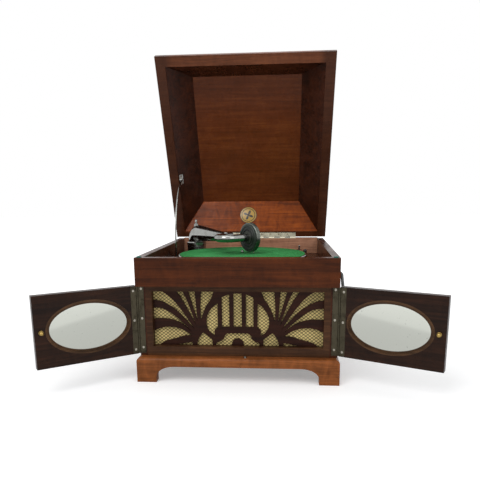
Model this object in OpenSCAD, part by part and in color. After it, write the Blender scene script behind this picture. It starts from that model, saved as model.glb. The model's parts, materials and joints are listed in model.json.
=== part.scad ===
// Tabletop gramophone: a mahogany table cabinet with a hipped lid, two glazed
// doors over the horn grille, a spring motor, a gooseneck tone arm and a crank.
// Millimetres. X is across the front, Y goes back from the front rail, Z is up.

/* [Case] */
// Width of the case over its side panels
case_w = 420; // [412:1:440]
// Depth of the case from the front rail to the back
case_d = 490; // [480:1:506]
// Height of the deck rim above the table
deck_h = 267; // [262:1:280]
// Thickness of the side and back panels
wall_t = 16; // [13:0.5:18]
// Height of the front rail under the deck rim
rail_h = 60; // [56:1:66]
// Thickness of the front rail at the top, beside the well
rail_top_t = 16; // [13:0.5:17]
// Depth of the well from the deck rim to the motor board
well_depth = 42; // [38:1:46]
// Thickness of the motor board
board_t = 12; // [9:0.5:14]
// Thickness of the bottom board
bottom_t = 10; // [7:0.5:12]
// Width and height of the cleats that carry the motor board
cleat_w = 16; // [12:0.5:17]
// How far the panels behind the doors stand back
front_recess = 18; // [17:0.5:20]

/* [Plinth and feet] */
// Height of the plinth moulding
plinth_h = 19; // [16:0.5:22]
// Width of the plinth frame, outside to inside
plinth_w = 40; // [34:1:48]
// How far the plinth stands out at the front
plinth_out_front = 3; // [2:0.5:5]
// How far the plinth stands out at each side
plinth_out_side = 4.5; // [3:0.5:7]
// Radius of the plinth's rounded top edge
plinth_round = 8; // [4:0.5:12]
// Height of the bracket feet
foot_h = 35; // [30:1:42]
// Width of each foot where it stands
foot_w = 42; // [34:1:50]
// Width of each foot where it meets the plinth
foot_top_w = 80; // [70:1:92]
// Height of the upright inner edge of a foot
foot_heel = 12; // [8:1:16]
// Thickness of the foot brackets
foot_t = 20; // [16:1:24]

/* [Grille] */
// Width of the frame beside the grille opening
grille_stile = 29; // [27:0.5:34]
// Height of the frame over the grille opening
grille_head = 19; // [17:0.5:24]
// Height of the sill under the grille opening
sill_h = 20; // [18:0.5:26]
// Thickness of the grille frame
frame_t = 12; // [10:0.5:14]
// Thickness of the fretwork
fret_t = 5; // [4:0.5:7]
// How far the fretwork runs under its frame on each side
fret_lap = 8; // [5:0.5:10]
// Thickness of the grille cloth
cloth_t = 0.8; // [0.5:0.1:1.2]

/* [Doors] */
// Door thickness
door_t = 15.6; // [14:0.2:16]
// Gap under the doors, above the plinth
door_gap_low = 3.5; // [2.5:0.5:5]
// Gap over the doors, under the front rail
door_gap_high = 1.5; // [1:0.25:2.5]
// Gap between the two closed doors
door_gap_mid = 1; // [0.6:0.2:2]
// How far each hinge pin stands outside the case
hinge_out = 1.5; // [1.3:0.1:2]
// How far the left door stands open
door_open_left = 144.5; // [100:0.5:176]
// How far the right door stands open
door_open_right = 153.2; // [100:0.1:176]
// Width of the oval rebate in a door
oval_w = 174; // [160:1:178]
// Height of the oval rebate in a door
oval_h = 111; // [100:1:120]
// Width of the moulding round the glass
oval_band = 8; // [5:0.5:10]
// Depth of the moulding over the glass
oval_depth = 5; // [4:0.5:6]
// Thickness of the door glass
glass_t = 4; // [3:0.25:5]
// From a hinge pin to the middle of the oval
oval_from_pin = 103; // [100:0.5:106]
// From a door's meeting edge to its knob
knob_from_edge = 13; // [12:0.5:14]
// Radius of the door knobs
door_knob_r = 4.4; // [3.5:0.1:4.6]

/* [Lid] */
// How far the lid stands open
lid_angle = 65.3; // [55:0.1:72]
// How far the lid reaches past the case at each side
lid_over_side = 7.5; // [5:0.5:10]
// How far the lid reaches past the case in front
lid_over_front = 2; // [0:0.5:6]
// Gap between the lid rim and the deck rim
lid_gap = 2; // [1.8:0.1:2.6]
// Width of the lid rim at the sides and front
rim_w = 24; // [20:0.5:28]
// Width of the lid rim at the back
rim_back_w = 16; // [14:0.5:20]
// Height of the lid rim at its inner edge
rim_lip = 5; // [3:0.5:8]
// Height of the upright outer face of the lid rim
rim_h = 14; // [10:0.5:18]
// Inside height of the lid over its rim
lid_rise = 66.3; // [62:0.1:76]
// From the lid's side to its flat top panel
hip_side = 78; // [70:0.5:84]
// From the lid's front edge to its flat top panel
hip_front = 63.4; // [56:0.2:72]
// From the lid's back edge to its flat top panel
hip_back = 81.2; // [74:0.2:88]
// Thickness of the sloping lid panels
slope_t = 8; // [6:0.5:9]
// Thickness of the flat lid panel
lid_top_t = 12; // [9:0.5:14]
// Radius of the quadrant stay about the lid hinge
stay_r = 178; // [172:1:182]
// Radius of the stay rod
stay_rod_r = 2; // [1.6:0.1:2.4]
// From the side panel to the middle of the stay rod
stay_from_wall = 8; // [7:0.5:9]

/* [Turntable] */
// Radius of the felt
felt_r = 152.4; // [148:0.2:153]
// Radius of the platter
platter_r = 157; // [154.5:0.5:159]
// Height of the felt's top over the motor board
felt_over_board = 26.5; // [25:0.5:28]
// Thickness of the felt
felt_t = 1.2; // [0.8:0.1:2]
// Thickness of the platter's sheet metal
platter_t = 2; // [1.5:0.1:2.5]
// Depth of the platter's skirt
skirt_h = 12; // [9:0.5:14]
// Middle of the turntable to the left of the case's middle
spindle_left = 4; // [0:0.5:8]
// Middle of the turntable behind the front rail
spindle_back = 230; // [226:1:236]
// Radius of the spindle pin that a record fits
spindle_pin_r = 3.6; // [3.5:0.02:3.62]
// Height of the spindle pin over the felt
spindle_pin_h = 7.5; // [6:0.5:8]
// Radius of the spindle shaft in its bearings
spindle_r = 4; // [3.8:0.1:5]

/* [Motor] */
// Thickness of the motor's top and bottom plates
plate_t = 3; // [2:0.25:3.5]
// Clear height between the motor plates
motor_h = 89; // [86:0.5:92]
// Middle of the spring barrel to the right of the spindle
barrel_right = 70; // [69:0.25:70.5]
// Radius of the spring barrel
barrel_r = 33; // [30:0.5:34]
// Height of the spring barrel
barrel_h = 42; // [38:0.5:44]
// Wall of the spring barrel
barrel_wall = 1.6; // [1.2:0.1:2.4]
// Teeth on the barrel wheel
barrel_teeth = 72; // [72:1:73]
// Teeth on the intermediate pinion that the barrel drives
inter_pinion_teeth = 14; // [14:1:15]
// Module of the barrel wheel and its pinion
barrel_module = 1; // [0.99:0.005:1.005]
// Teeth on the intermediate wheel
inter_wheel_teeth = 60; // [60:1:61]
// Teeth on the spindle pinion
spindle_pinion_teeth = 15; // [15:1:16]
// Module of the intermediate wheel and the spindle pinion
inter_module = 0.8; // [0.79:0.005:0.805]
// Teeth on the spindle's governor wheel
governor_wheel_teeth = 72; // [68:1:76]
// Teeth on the governor pinion
governor_pinion_teeth = 12; // [12:1:14]
// Module of the governor wheel and pinion
governor_module = 0.6; // [0.58:0.01:0.62]
// Teeth on the winding pinion of the crank shaft
wind_pinion_teeth = 12; // [12:1:13]
// Teeth on the winding crown wheel
wind_wheel_teeth = 30; // [30:1:32]
// Module of the winding wheels
wind_module = 1.1; // [1.05:0.01:1.12]
// Face width of the motor's thin wheels
wheel_t = 3; // [2.5:0.1:3.5]
// Radius of the winding arbor and the crank shaft
arbor_r = 4; // [3.6:0.1:4.3]
// Radius of the thin arbors and their pivots
pivot_r = 2; // [1.6:0.1:2.3]
// Radius of the governor's flying weights
weight_r = 3.2; // [2.6:0.1:3.6]

/* [Crank] */
// Height of the crank shaft under the motor board
crank_drop = 11; // [10.5:0.25:12]
// From the case side to the plane of the crank arm
crank_out = 30; // [26:1:36]
// Radius of the crank rod
crank_rod_r = 3.8; // [3.4:0.1:4]
// Length of the crank arm
crank_arm_l = 96; // [80:1:104]
// Angle of the crank arm below the horizontal, towards the front
crank_angle = 39.8; // [0:0.2:80]
// Length of the crank's wooden grip
grip_l = 70; // [60:1:80]
// Largest radius of the grip
grip_r = 10.5; // [9:0.5:12]

/* [Tone arm] */
// Middle of the tone arm's base to the left of the case's middle
arm_left = 144.5; // [142:0.5:147]
// Middle of the tone arm's base from the back
arm_to_back = 90; // [87:1:94]
// Radius of the tone arm's base
arm_base_r = 25.5; // [24.5:0.25:27]
// Height of the tone arm's base over the motor board
arm_base_h = 40; // [37:0.5:42]
// Outer radius of the elbow
elbow_r = 22; // [20.5:0.25:22.5]
// Bend radius of the elbow
elbow_bend = 24; // [22.5:0.5:26]
// Wall of the tone arm tube
arm_wall = 1.6; // [1.2:0.1:2]
// From the base's axis to the gooseneck's swivel axis
arm_l = 198.5; // [194:0.5:202]
// Rise of the tube from the elbow to the swivel
arm_rise = 1; // [0:0.5:4]
// Radius of the tube at the swivel end
arm_end_r = 10; // [9:0.25:11]
// Direction of the arm, degrees clockwise from the X axis
arm_yaw = 58; // [52:0.5:60]
// Turn of the sound box's head against the arm's direction
head_turn = 9; // [0:0.5:14]
// Radius of the swivel collar
collar_r = 12; // [11:0.25:13]
// Radius of the gooseneck tube
neck_r = 9.25; // [8.5:0.25:9.5]
// Bend radius of the gooseneck
neck_bend = 21.5; // [20.5:0.5:24]
// Straight run of the gooseneck beside the swivel collar
neck_leg = 11; // [9:0.5:14]
// Straight run of the gooseneck to the sound box
neck_reach = 43.5; // [42:0.5:50]

/* [Sound box] */
// Radius of the sound box
box_r = 35; // [33:0.5:36]
// Thickness of the sound box's metal shell
box_t = 11; // [10:0.5:14]
// Thickness of the rubber back
box_back_t = 6; // [5:0.5:7]
// Thickness of the diaphragm
diaphragm_t = 0.5; // [0.3:0.1:0.8]
// Length of the needle
needle_l = 16; // [14:0.5:18]
// Lean of the needle from upright
needle_lean = 25; // [15:1:30]

/* [Controls] */
// Brake pivot to the right of the case's middle
brake_x = 126; // [124:0.5:128]
// Brake pivot from the back
brake_to_back = 128; // [125:0.5:131]
// Length from the brake pivot to its handle pin
brake_handle_l = 18.4; // [16:0.2:20]
// Radius of the brake's handle pin
brake_pin_r = 2; // [1.6:0.1:2.6]
// Speed knob to the right of the case's middle
speed_x = 153; // [150:0.5:156]
// Speed knob from the back
speed_to_back = 160; // [156:1:164]
// Radius of the speed knob
speed_knob_r = 4.5; // [4:0.25:6]

/* [Hinges and screws] */
// Radius of the door hinge barrels
door_barrel_r = 2.2; // [1.8:0.1:2.4]
// Width of the door hinge leaves
door_leaf_w = 14; // [12:0.5:14.5]
// Thickness of the door hinge leaves
door_leaf_t = 1; // [0.8:0.1:1.4]
// Height of one knuckle on the door hinges
door_knuckle = 9.8; // [8:0.2:16]
// Radius of the lid hinge barrel
lid_barrel_r = 2; // [1.8:0.1:2.1]
// Length of the lid hinge
lid_hinge_l = 264; // [240:1:300]
// Number of knuckles on the lid hinge
lid_knuckles = 17; // [9:2:21]
// Distance between the lid hinge's screws
lid_screw_pitch = 25; // [20:0.5:26]
// Radius of all hinge pins
hinge_pin_r = 1; // [0.8:0.05:1.1]
// Radius of a wood screw's head
screw_head_r = 2.5; // [2.1:0.1:2.8]
// Radius of a wood screw's shank
screw_r = 1.2; // [0.9:0.1:1.4]
// Length of a wood screw
screw_l = 9; // [7:0.5:10]

/* [Clearances] */
// Radial running clearance of a shaft in its hole
run = 0.05; // [0.02:0.01:0.09]
// Gap between faces that slide past each other
face_gap = 0.3; // [0.2:0.05:0.5]
// Gap round pieces let into a recess
fit_gap = 0.1; // [0.05:0.05:0.2]

/* [Hidden] */
$fn = 64;
eps = 0.01;

// Heights and outlines of the case
half_w = case_w / 2;
inner_x = half_w - wall_t;
inner_back = case_d - wall_t;
plinth_top = foot_h + plinth_h;
rail_low = deck_h - rail_h;
board_top = deck_h - well_depth;
board_low = board_top - board_t;
bottom_top = plinth_top + bottom_t;
plinth_x = half_w + plinth_out_side;
frame_back = front_recess + frame_t;
sill_top = plinth_top + sill_h;
grille_top = board_low - grille_head;
grille_h = grille_top - sill_top;
grille_w = case_w - 2 * grille_stile;

// Doors, in a frame with the hinge pin at the origin and the closed door along +X
pin_x = half_w + hinge_out;
door_set = 0.4;
door_edge = hinge_out - 0.5;
door_end = pin_x - door_gap_mid / 2;
door_low = plinth_top + door_gap_low;
door_high = rail_low - door_gap_high;
door_mid = (door_low + door_high) / 2;
door_out = door_set + door_t;
hinge_low = door_low + 1;
hinge_high = door_high - 1;
knuckle_count = 2 * floor((hinge_high - hinge_low) / door_knuckle / 2) + 1;
knuckle_h = (hinge_high - hinge_low) / knuckle_count;
screw_inset = 9;
knob_s = door_end - knob_from_edge;
knob_neck = 2.2;
knob_mid = knob_neck + door_knob_r - 0.4;

// Lid, drawn closed; the hinge line is at the back of the case
lid_pin_y = case_d + lid_barrel_r;
lid_pin_z = deck_h + lid_gap / 2;
lid_z = deck_h + lid_gap;
lid_x = half_w + lid_over_side;
lid_front = -lid_over_front;
lid_back = case_d;
side_run = (hip_side - rim_w) / (lid_rise - rim_lip);
front_run = (hip_front - rim_w) / (lid_rise - rim_lip);
back_run = (hip_back - rim_back_w) / (lid_rise - rim_lip);
side_skin = slope_t * sqrt(1 + side_run * side_run);
front_skin = slope_t * sqrt(1 + front_run * front_run);
back_skin = slope_t * sqrt(1 + back_run * back_run);
top_bead = 1.5;
top_bevel = 4;
leaf_t = (lid_gap - 0.2) / 2;
stay_x = -inner_x + stay_from_wall;
stay_end = 81;
stay_head = -3;
stay_y = lid_pin_y - sqrt(pow(stay_r, 2) - pow(lid_pin_z - board_top, 2));

// Turntable and the fittings behind it
arm_back = case_d - arm_to_back;
brake_y = case_d - brake_to_back;
speed_y = case_d - speed_to_back;
felt_top = board_top + felt_over_board;
platter_top = felt_top - felt_t;
spindle_at = [-spindle_left, spindle_back];

// Motor, under the board; the crank shaft passes over the middle of the barrel
motor_top = board_low - plate_t;
motor_low = motor_top - motor_h;
crank_z = board_low - crank_drop;
crank_y = spindle_back + 15;
barrel_at = [spindle_at.x + barrel_right, crank_y];
barrel_z = motor_low + 9;
gear_z = barrel_z - 4;
barrel_gear_t = 4;
inter_z = barrel_z + barrel_h + 4;
governor_z = inter_z + wheel_t + 5;
reach_a = pitch_r(barrel_teeth, barrel_module) + pitch_r(inter_pinion_teeth, barrel_module);
reach_b = pitch_r(inter_wheel_teeth, inter_module) + pitch_r(spindle_pinion_teeth, inter_module);
axis_gap = norm(spindle_at - barrel_at);
along = (pow(reach_a, 2) - pow(reach_b, 2) + pow(axis_gap, 2)) / (2 * axis_gap);
toward = (spindle_at - barrel_at) / axis_gap;
aside = sqrt(max(pow(reach_a, 2) - along * along, 0));
inter_at = barrel_at + along * toward + aside * [-toward.y, toward.x];
governor_reach = pitch_r(governor_wheel_teeth, governor_module)
    + pitch_r(governor_pinion_teeth, governor_module);
governor_at = spindle_at - [governor_reach, 0];
wind_r = pitch_r(wind_wheel_teeth, wind_module);
wind_pinion_r = pitch_r(wind_pinion_teeth, wind_module);
crown_z = crank_z - wind_pinion_r;
pillar_r = 4;
pillar_at = [[-48, -34], [-48, 40], [108, -34], [108, 52]];
bolt_at = [[-36, 58], [-20, -48], [118, 34]];
bolt_r = 2.5;
// How far the motor's plates reach past the spindle: left, right, front, back
plate_reach = [60, barrel_right + 60, 58, 68];

// Crank
socket_x = inner_x + 4;
arm_plane = half_w + crank_out;
bend_r = 9;

// Tone arm, in a frame with the base's axis at the origin and the arm along +X
arm_at = [-arm_left, arm_back];
arm_flange_t = 3;
arm_flange_w = 7.5;
arm_screw_l = arm_flange_t + board_t + 4;
base_top = board_top + arm_base_h;
elbow_low = base_top + face_gap;
elbow_z = elbow_low + elbow_bend;
tube_pitch = atan(arm_rise / (arm_l - elbow_bend));
neck_z = elbow_z + arm_rise;
throat_r = 21;
spigot_r = 19.6;
collar_half = 6;
box_x = 2 * neck_bend;
box_back = neck_reach - collar_half - neck_leg;
box_shell = box_back + box_back_t - 3;
box_front = box_shell + box_t;
needle_y = box_front + 2.7;
needle_tip = felt_top + face_gap;

// Middle of the open model seen from above
function door_reach(a) = pin_x - door_end * cos(a) + door_out * sin(a);
function knob_front(a) = front_recess - knob_s * sin(a)
    - (door_set - knob_mid) * cos(a) - door_knob_r;
lid_reach = lid_pin_y - (lid_pin_y - lid_back + hip_back - back_skin - top_bead + top_bevel) * cos(lid_angle)
    + (lid_gap / 2 + lid_rise + lid_top_t) * sin(lid_angle);
front_reach = min(knob_front(door_open_left), knob_front(door_open_right));
middle_x = (door_reach(door_open_right) - door_reach(door_open_left)) / 2;
middle_y = (lid_reach + front_reach) / 2;

// The row's origin is on the table under that middle
module placed() {
    translate([-middle_x, -middle_y, 0]) children();
}

function pitch_r(teeth, m) = teeth * m / 2;
function polar(r, a) = [r * cos(a), r * sin(a)];
function arc(c, r, a0, a1, n = 8) = [for (i = [0:n]) c + polar(r, a0 + (a1 - a0) * i / n)];
function oval(rx, rz, n = 72) = [for (i = [0:n - 1]) [rx * cos(360 * i / n), rz * sin(360 * i / n)]];
function flip(points) = [for (p = points) [-p.x, p.y]];

// A smooth open curve through points, without its last point
function curve(p, n = 4) = [for (i = [0:len(p) - 2]) for (j = [0:n - 1])
    let (t = j / n, a = p[max(i - 1, 0)], b = p[i], c = p[i + 1], d = p[min(i + 2, len(p) - 1)])
    0.5 * (2 * b + (c - a) * t + (2 * a - 5 * b + 4 * c - d) * t * t + (3 * b - a - 3 * c + d) * t * t * t)];

// Involute gears of 20 degrees, with backlash taken off each flank
function flank(rb, r) = let (t = sqrt(max(pow(r / rb, 2) - 1, 0))) t * 180 / PI - atan(t);
function gear_points(teeth, m, play = 0.12) = let (
    rp = pitch_r(teeth, m),
    rb = rp * cos(20),
    ra = rp + 0.82 * m,
    rr = rp - 1.12 * m,
    half = 90 / teeth - play / rp * 180 / PI / 2,
    radii = [rr, max(rb, rr + 0.02), rp, ra],
    spread = [for (r = radii) half + flank(rb, rp) - flank(rb, max(r, rb))])
    [for (k = [0:teeth - 1]) let (mid = 360 * k / teeth)
        each concat([for (i = [0:3]) polar(radii[i], mid - spread[i])],
            [for (i = [3:-1:0]) polar(radii[i], mid + spread[i])])];

module gear(teeth, m, h, bore = 0) {
    difference() {
        linear_extrude(h) polygon(gear_points(teeth, m));
        if (bore > 0) translate([0, 0, -eps]) cylinder(r = bore, h = h + 2 * eps);
    }
}

module at_xy(p) {
    translate([p.x, p.y, 0]) children();
}

module sides() {
    children();
    mirror([1, 0, 0]) children();
}

// A screw with its head's top at the origin, pointing down
module screw(l = screw_l) {
    head_h = screw_head_r - screw_r;
    difference() {
        union() {
            translate([0, 0, -head_h]) cylinder(r1 = screw_r, r2 = screw_head_r, h = head_h);
            translate([0, 0, -l]) cylinder(r = screw_r, h = l);
        }
        translate([-screw_head_r, -0.35, -0.4]) cube([2 * screw_head_r, 0.7, 1]);
    }
}

module screw_hole(l = screw_l) {
    head_h = screw_head_r - screw_r;
    translate([0, 0, -head_h]) cylinder(r1 = screw_r + run, r2 = screw_head_r + run, h = head_h + eps);
    translate([0, 0, -l - 0.5]) cylinder(r = screw_r + run, h = l + 0.5);
    cylinder(r = screw_head_r + run, h = 1);
}

// A bar along X with a profile given as [y, z] points
module bar_x(points, x0, x1) {
    translate([x0, 0, 0]) rotate([90, 0, 90]) linear_extrude(x1 - x0) polygon(points);
}

// A solid between two level rectangles, each [x half width, y front, y back, z]
module tier(a, b) {
    points = [for (r = [a, b]) for (c = [[-1, 1], [1, 1], [1, 2], [-1, 2]]) [c.x * r[0], r[c.y], r[3]]];
    polyhedron(points, [[0, 1, 2, 3], [7, 6, 5, 4], [1, 0, 4, 5], [2, 1, 5, 6], [3, 2, 6, 7], [0, 3, 7, 4]]);
}

// Case
module side_panels() {
    color("#5a2a16") sides() difference() {
        translate([inner_x, front_recess, plinth_top])
            cube([wall_t, case_d - front_recess, deck_h - plinth_top]);
        translate([pin_x, front_recess, hinge_low - 1])
            cylinder(r = door_barrel_r + face_gap, h = hinge_high - hinge_low + 2);
        translate([pin_x - door_leaf_w - 1 - fit_gap, front_recess - 1, hinge_low - fit_gap])
            cube([door_leaf_w + 1, 1 + door_leaf_t, hinge_high - hinge_low + 2 * fit_gap]);
        door_case_screws() screw_hole();
        crank_hole();
    }
}

module crank_hole() {
    translate([0, crank_y, crank_z]) rotate([0, 90, 0]) cylinder(r = arbor_r + 1.5, h = half_w + 1);
    crank_screws() screw_hole();
}

module back_panel() {
    color("#5a2a16") difference() {
        translate([-inner_x, inner_back, plinth_top]) cube([2 * inner_x, wall_t, lid_z - face_gap - plinth_top]);
        translate([-lid_hinge_l / 2 - fit_gap, inner_back - 1, deck_h])
            cube([lid_hinge_l + 2 * fit_gap, wall_t + 2, lid_gap]);
        lid_case_screws() screw_hole();
    }
}

module bottom_board() {
    color("#4b3020") translate([-inner_x, frame_back, plinth_top])
        cube([2 * inner_x, inner_back - frame_back, bottom_t]);
}

module front_rail() {
    color("#6b2f18") difference() {
        bar_x(concat([[front_recess, rail_low], [front_recess, deck_h]],
            arc([2, deck_h - 2], 2, 90, 180), [[0, rail_low]]), -half_w, half_w);
        translate([-inner_x, rail_top_t, board_top]) cube([2 * inner_x, front_recess, rail_h]);
    }
}

module grille_frame() {
    stile_w = inner_x - grille_w / 2;
    color("#3a1c10") {
        sides() translate([inner_x - stile_w, front_recess, sill_top]) cube([stile_w, frame_t, grille_h]);
        translate([-inner_x, front_recess, plinth_top]) cube([2 * inner_x, frame_t, sill_h]);
        translate([-inner_x, front_recess, grille_top])
            cube([2 * inner_x, frame_t, grille_head]);
    }
}

module motor_board() {
    color("#4a2a1a") difference() {
        translate([-inner_x, front_recess, board_low]) cube([2 * inner_x, inner_back - front_recess, board_t]);
        at_xy(arm_at) translate([0, 0, board_low - 1]) cylinder(r = throat_r + 0.5, h = board_t + 2);
        at_xy(spindle_at) translate([0, 0, board_low - 1]) cylinder(r = 3 * spindle_r, h = board_t + 2);
        translate([stay_x - 5, stay_y - 6, board_low - 1]) cube([10, 18, board_t + 2]);
        translate([speed_x, speed_y, board_low - 1]) cylinder(r = 4, h = board_t + 2);
        motor_bolts() translate([0, 0, -1]) cylinder(r = bolt_r + run, h = board_t + 2);
        plate_screws() screw_hole();
        arm_base_screws() screw_hole(arm_screw_l);
    }
}

module board_cleats() {
    z = board_low - cleat_w;
    front = mouth_y + fit_gap;
    color("#6a4a30") {
        sides() difference() {
            translate([inner_x - cleat_w, front, z]) cube([cleat_w, inner_back - front, cleat_w]);
            translate([inner_x - cleat_w - 1, crank_y - 12, z - 1]) cube([cleat_w + 2, 24, cleat_w + 2]);
            translate([inner_x - cleat_w - 1, stay_y - 12, z - 1]) cube([cleat_w + 2, 32, cleat_w + 2]);
        }
        translate([-inner_x + cleat_w, inner_back - cleat_w, z]) cube([2 * (inner_x - cleat_w), cleat_w, cleat_w]);
    }
}

// One mitred length of the plinth, outer edge first
module plinth_wedge(a, b, c, d) {
    translate([0, 0, foot_h - 1]) linear_extrude(plinth_h + 2) polygon([a, b, c, d]);
}

module plinth() {
    r = plinth_round;
    front = -plinth_out_front;
    outline = [[0, foot_h], [plinth_w, foot_h], [plinth_w, plinth_top]];
    moulding = concat(outline, arc([r, plinth_top - r], r, 90, 180), [[0, foot_h]]);
    plain = concat(outline, [[0, plinth_top]]);
    o = [plinth_x, front];
    i = [plinth_x - plinth_w, front + plinth_w];
    q = [plinth_x, case_d];
    j = [plinth_x - plinth_w, case_d - plinth_w];
    color("#7a3a1c") {
        intersection() {
            translate([0, front, 0]) bar_x(moulding, -plinth_x, plinth_x);
            plinth_wedge([-o.x, o.y], o, i, [-i.x, i.y]);
        }
        sides() intersection() {
            translate([plinth_x, front, 0]) rotate([0, 0, 90]) bar_x(moulding, 0, case_d - front);
            plinth_wedge(o, q, j, i);
        }
        intersection() {
            translate([0, case_d, 0]) rotate([0, 0, 180]) bar_x(plain, -plinth_x, plinth_x);
            plinth_wedge(q, [-q.x, q.y], [-j.x, j.y], j);
        }
    }
}

// A foot bracket's face: a heel, then a hollow curve
function foot_face() = concat([[0, 0], [foot_w, 0]],
    [for (i = [0:8]) let (a = 90 * i / 8) [foot_top_w - (foot_top_w - foot_w) * cos(a),
        foot_heel + (foot_h - foot_heel) * sin(a)]], [[0, foot_h]]);

module foot() {
    rotate([90, 0, 0]) translate([0, 0, -foot_t]) linear_extrude(foot_t) polygon(foot_face());
    rotate([90, 0, 90]) linear_extrude(foot_t) polygon(foot_face());
}

module bracket_feet() {
    color("#7a3a1c") sides() {
        translate([-plinth_x, -plinth_out_front, 0]) foot();
        translate([-plinth_x, case_d, 0]) mirror([0, 1, 0]) foot();
    }
}

module lid_pads() {
    color("#3f8f84") sides() translate([half_w - 9, rail_top_t / 2, deck_h]) cylinder(r = 5, h = lid_gap - face_gap);
}

module catch_stud() {
    color("silver") translate([16.8, 10, plinth_top]) {
        cylinder(r = 4, h = 1);
        cylinder(r = 2.2, h = door_gap_low - face_gap);
    }
}

// Grille. The fretwork's openings are drawn on the left half, from the middle of
// the opening's lower edge, for this size
fret_drawn = [362, 119];
fret_openings = [
    concat(curve([[-181, 31.6], [-162, 38.8], [-145, 40.3], [-126, 37], [-110, 29.5], [-99, 21.5]]),
        curve([[-99, 21.5], [-116, 20.2], [-134, 14.5], [-158, 8], [-170, 0]]), [[-170, 0], [-181, 0]]),
    [[-134, 0], [-98, 8], [-98, 0]],
    concat(curve([[-181, 82], [-163, 80.5], [-146, 72.4], [-128, 59], [-111, 43.5], [-97, 28]]),
        curve([[-97, 28], [-118, 46], [-136, 54], [-156, 58.2], [-181, 57.6]]), [[-181, 57.6]]),
    concat(curve([[-166, 119], [-153, 112], [-139, 100], [-126, 84.5], [-114, 68], [-102, 49.5], [-92.5, 34.5]]),
        curve([[-92.5, 34.5], [-114, 58.5], [-131, 76.5], [-146, 86.7], [-164, 95.8], [-181, 98.8]]),
        [[-181, 98.8], [-181, 119]]),
    concat(curve([[-118, 119], [-108, 98], [-98, 70], [-88.7, 42]]),
        curve([[-88.7, 42], [-105, 75], [-120, 102], [-132, 119]]), [[-132, 119]]),
    concat(curve([[-91, 119], [-89, 92], [-86, 51.5]]), curve([[-86, 51.5], [-95, 84], [-105.5, 119]]),
        [[-105.5, 119]]),
    concat(curve([[-50, 119], [-56, 102], [-65, 89], [-73, 73], [-79, 54]]),
        curve([[-79, 54], [-79.5, 84], [-77, 119]]), [[-77, 119]]),
    concat(curve([[-42.5, 92], [-53, 84], [-62, 71], [-66.5, 59], [-66.5, 46], [-63, 34], [-55, 25], [-49, 22.5]]),
        curve([[-49, 22.5], [-50, 32], [-47, 37], [-42.5, 39.5]]), [[-42.5, 39.5]]),
    [[-33.6, 105], [-17.6, 111.6], [-17.6, 41], [-33.6, 41]],
    concat(curve([[-87.3, 0], [-87, 7], [-81, 20], [-73.5, 28], [-64, 20.5], [-55, 13.6]]), [[-55, 13.6], [-54.3, 0]]),
    concat([[0.5, 27.2]], curve([[-22, 27.2], [-27.5, 22], [-30, 15], [-36, 10], [-45, 7], [-47, 0]]),
        [[-47, 0], [-12.7, 0]], arc([0, 3], 12.7, 180, 90), [[0.5, 15.7]])];
fret_middle = [[-8.8, 113], [8.8, 113], [8.8, 41], [-8.8, 41]];

module fretwork_grille() {
    color("#2c1712") translate([0, frame_back + fret_t, sill_top]) rotate([90, 0, 0]) linear_extrude(fret_t)
        difference() {
            translate([-grille_w / 2 - fret_lap, -fret_lap]) square([grille_w + 2 * fret_lap, grille_h + 2 * fret_lap]);
            scale([grille_w / fret_drawn.x, grille_h / fret_drawn.y]) {
                for (p = fret_openings) {
                    polygon(p);
                    polygon(flip(p));
                }
                polygon(fret_middle);
            }
        }
}

module grille_cloth() {
    color("#b79a62") translate([-grille_w / 2 - fret_lap, frame_back + fret_t, sill_top - fret_lap])
        cube([grille_w + 2 * fret_lap, cloth_t, grille_h + 2 * fret_lap]);
}

// Horn: sections [middle x, half width, low z, high z, y] from the mouth to the throat
horn_wall = 5;
horn_low = bottom_top;
horn_top = motor_low - plate_t - 3;
mouth_y = frame_back + fret_t + cloth_t;
neck_y = arm_back - 60;
neck_w = 60;
neck_h = 41;
horn_sections = [
    [0, grille_w / 2 - 5, horn_low + 2, grille_top + 4, mouth_y],
    [-14, grille_w * 0.37, horn_low, grille_top - 42, mouth_y + 70],
    [-48, grille_w * 0.255, horn_low, horn_top, spindle_back - plate_reach[2] - 3],
    [-96, grille_w * 0.155, horn_low, horn_top - 3, spindle_back + 36],
    [arm_at.x, neck_w / 2, horn_low, horn_low + neck_h, neck_y]];

// A boxy duct through the sections, each drawn in by a wall
module duct(wall, extra) {
    n = len(horn_sections);
    points = [for (k = [0:n - 1]) let (s = horn_sections[k], y = s[4] + (k == 0 ? -extra : k == n - 1 ? extra : 0))
        for (c = [[-1, 2], [1, 2], [1, 3], [-1, 3]])
            [s[0] + c.x * (s[1] - wall), y, s[c.y] + (c.y == 2 ? wall : -wall)]];
    faces = concat([[3, 2, 1, 0]], [for (k = [0:n - 2]) for (i = [0:3]) let (a = 4 * k + i, b = 4 * k + (i + 1) % 4)
        each [[a, b, b + 4], [a, b + 4, a + 4]]], [[4 * n - 4, 4 * n - 3, 4 * n - 2, 4 * n - 1]]);
    polyhedron(points, faces);
}

module horn_mouth() {
    color("#8a6a44") difference() {
        duct(0, 0);
        duct(horn_wall, 1);
    }
}

// Throat: a box on the horn's end, then a tube that turns up to the board
throat_box = 18;
throat_tube = 20;
throat_z = horn_low + neck_h / 2;
throat_turn = arm_back - neck_y - throat_box;

module throat_run(r, extra) {
    at_xy(arm_at) {
        translate([0, -throat_turn, throat_z + throat_turn]) rotate([0, 90, 0])
            rotate_extrude(angle = 90) translate([throat_turn, 0]) circle(r = r);
        translate([0, 0, throat_z + throat_turn]) cylinder(r = r, h = board_low + extra - throat_z - throat_turn);
    }
}

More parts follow.
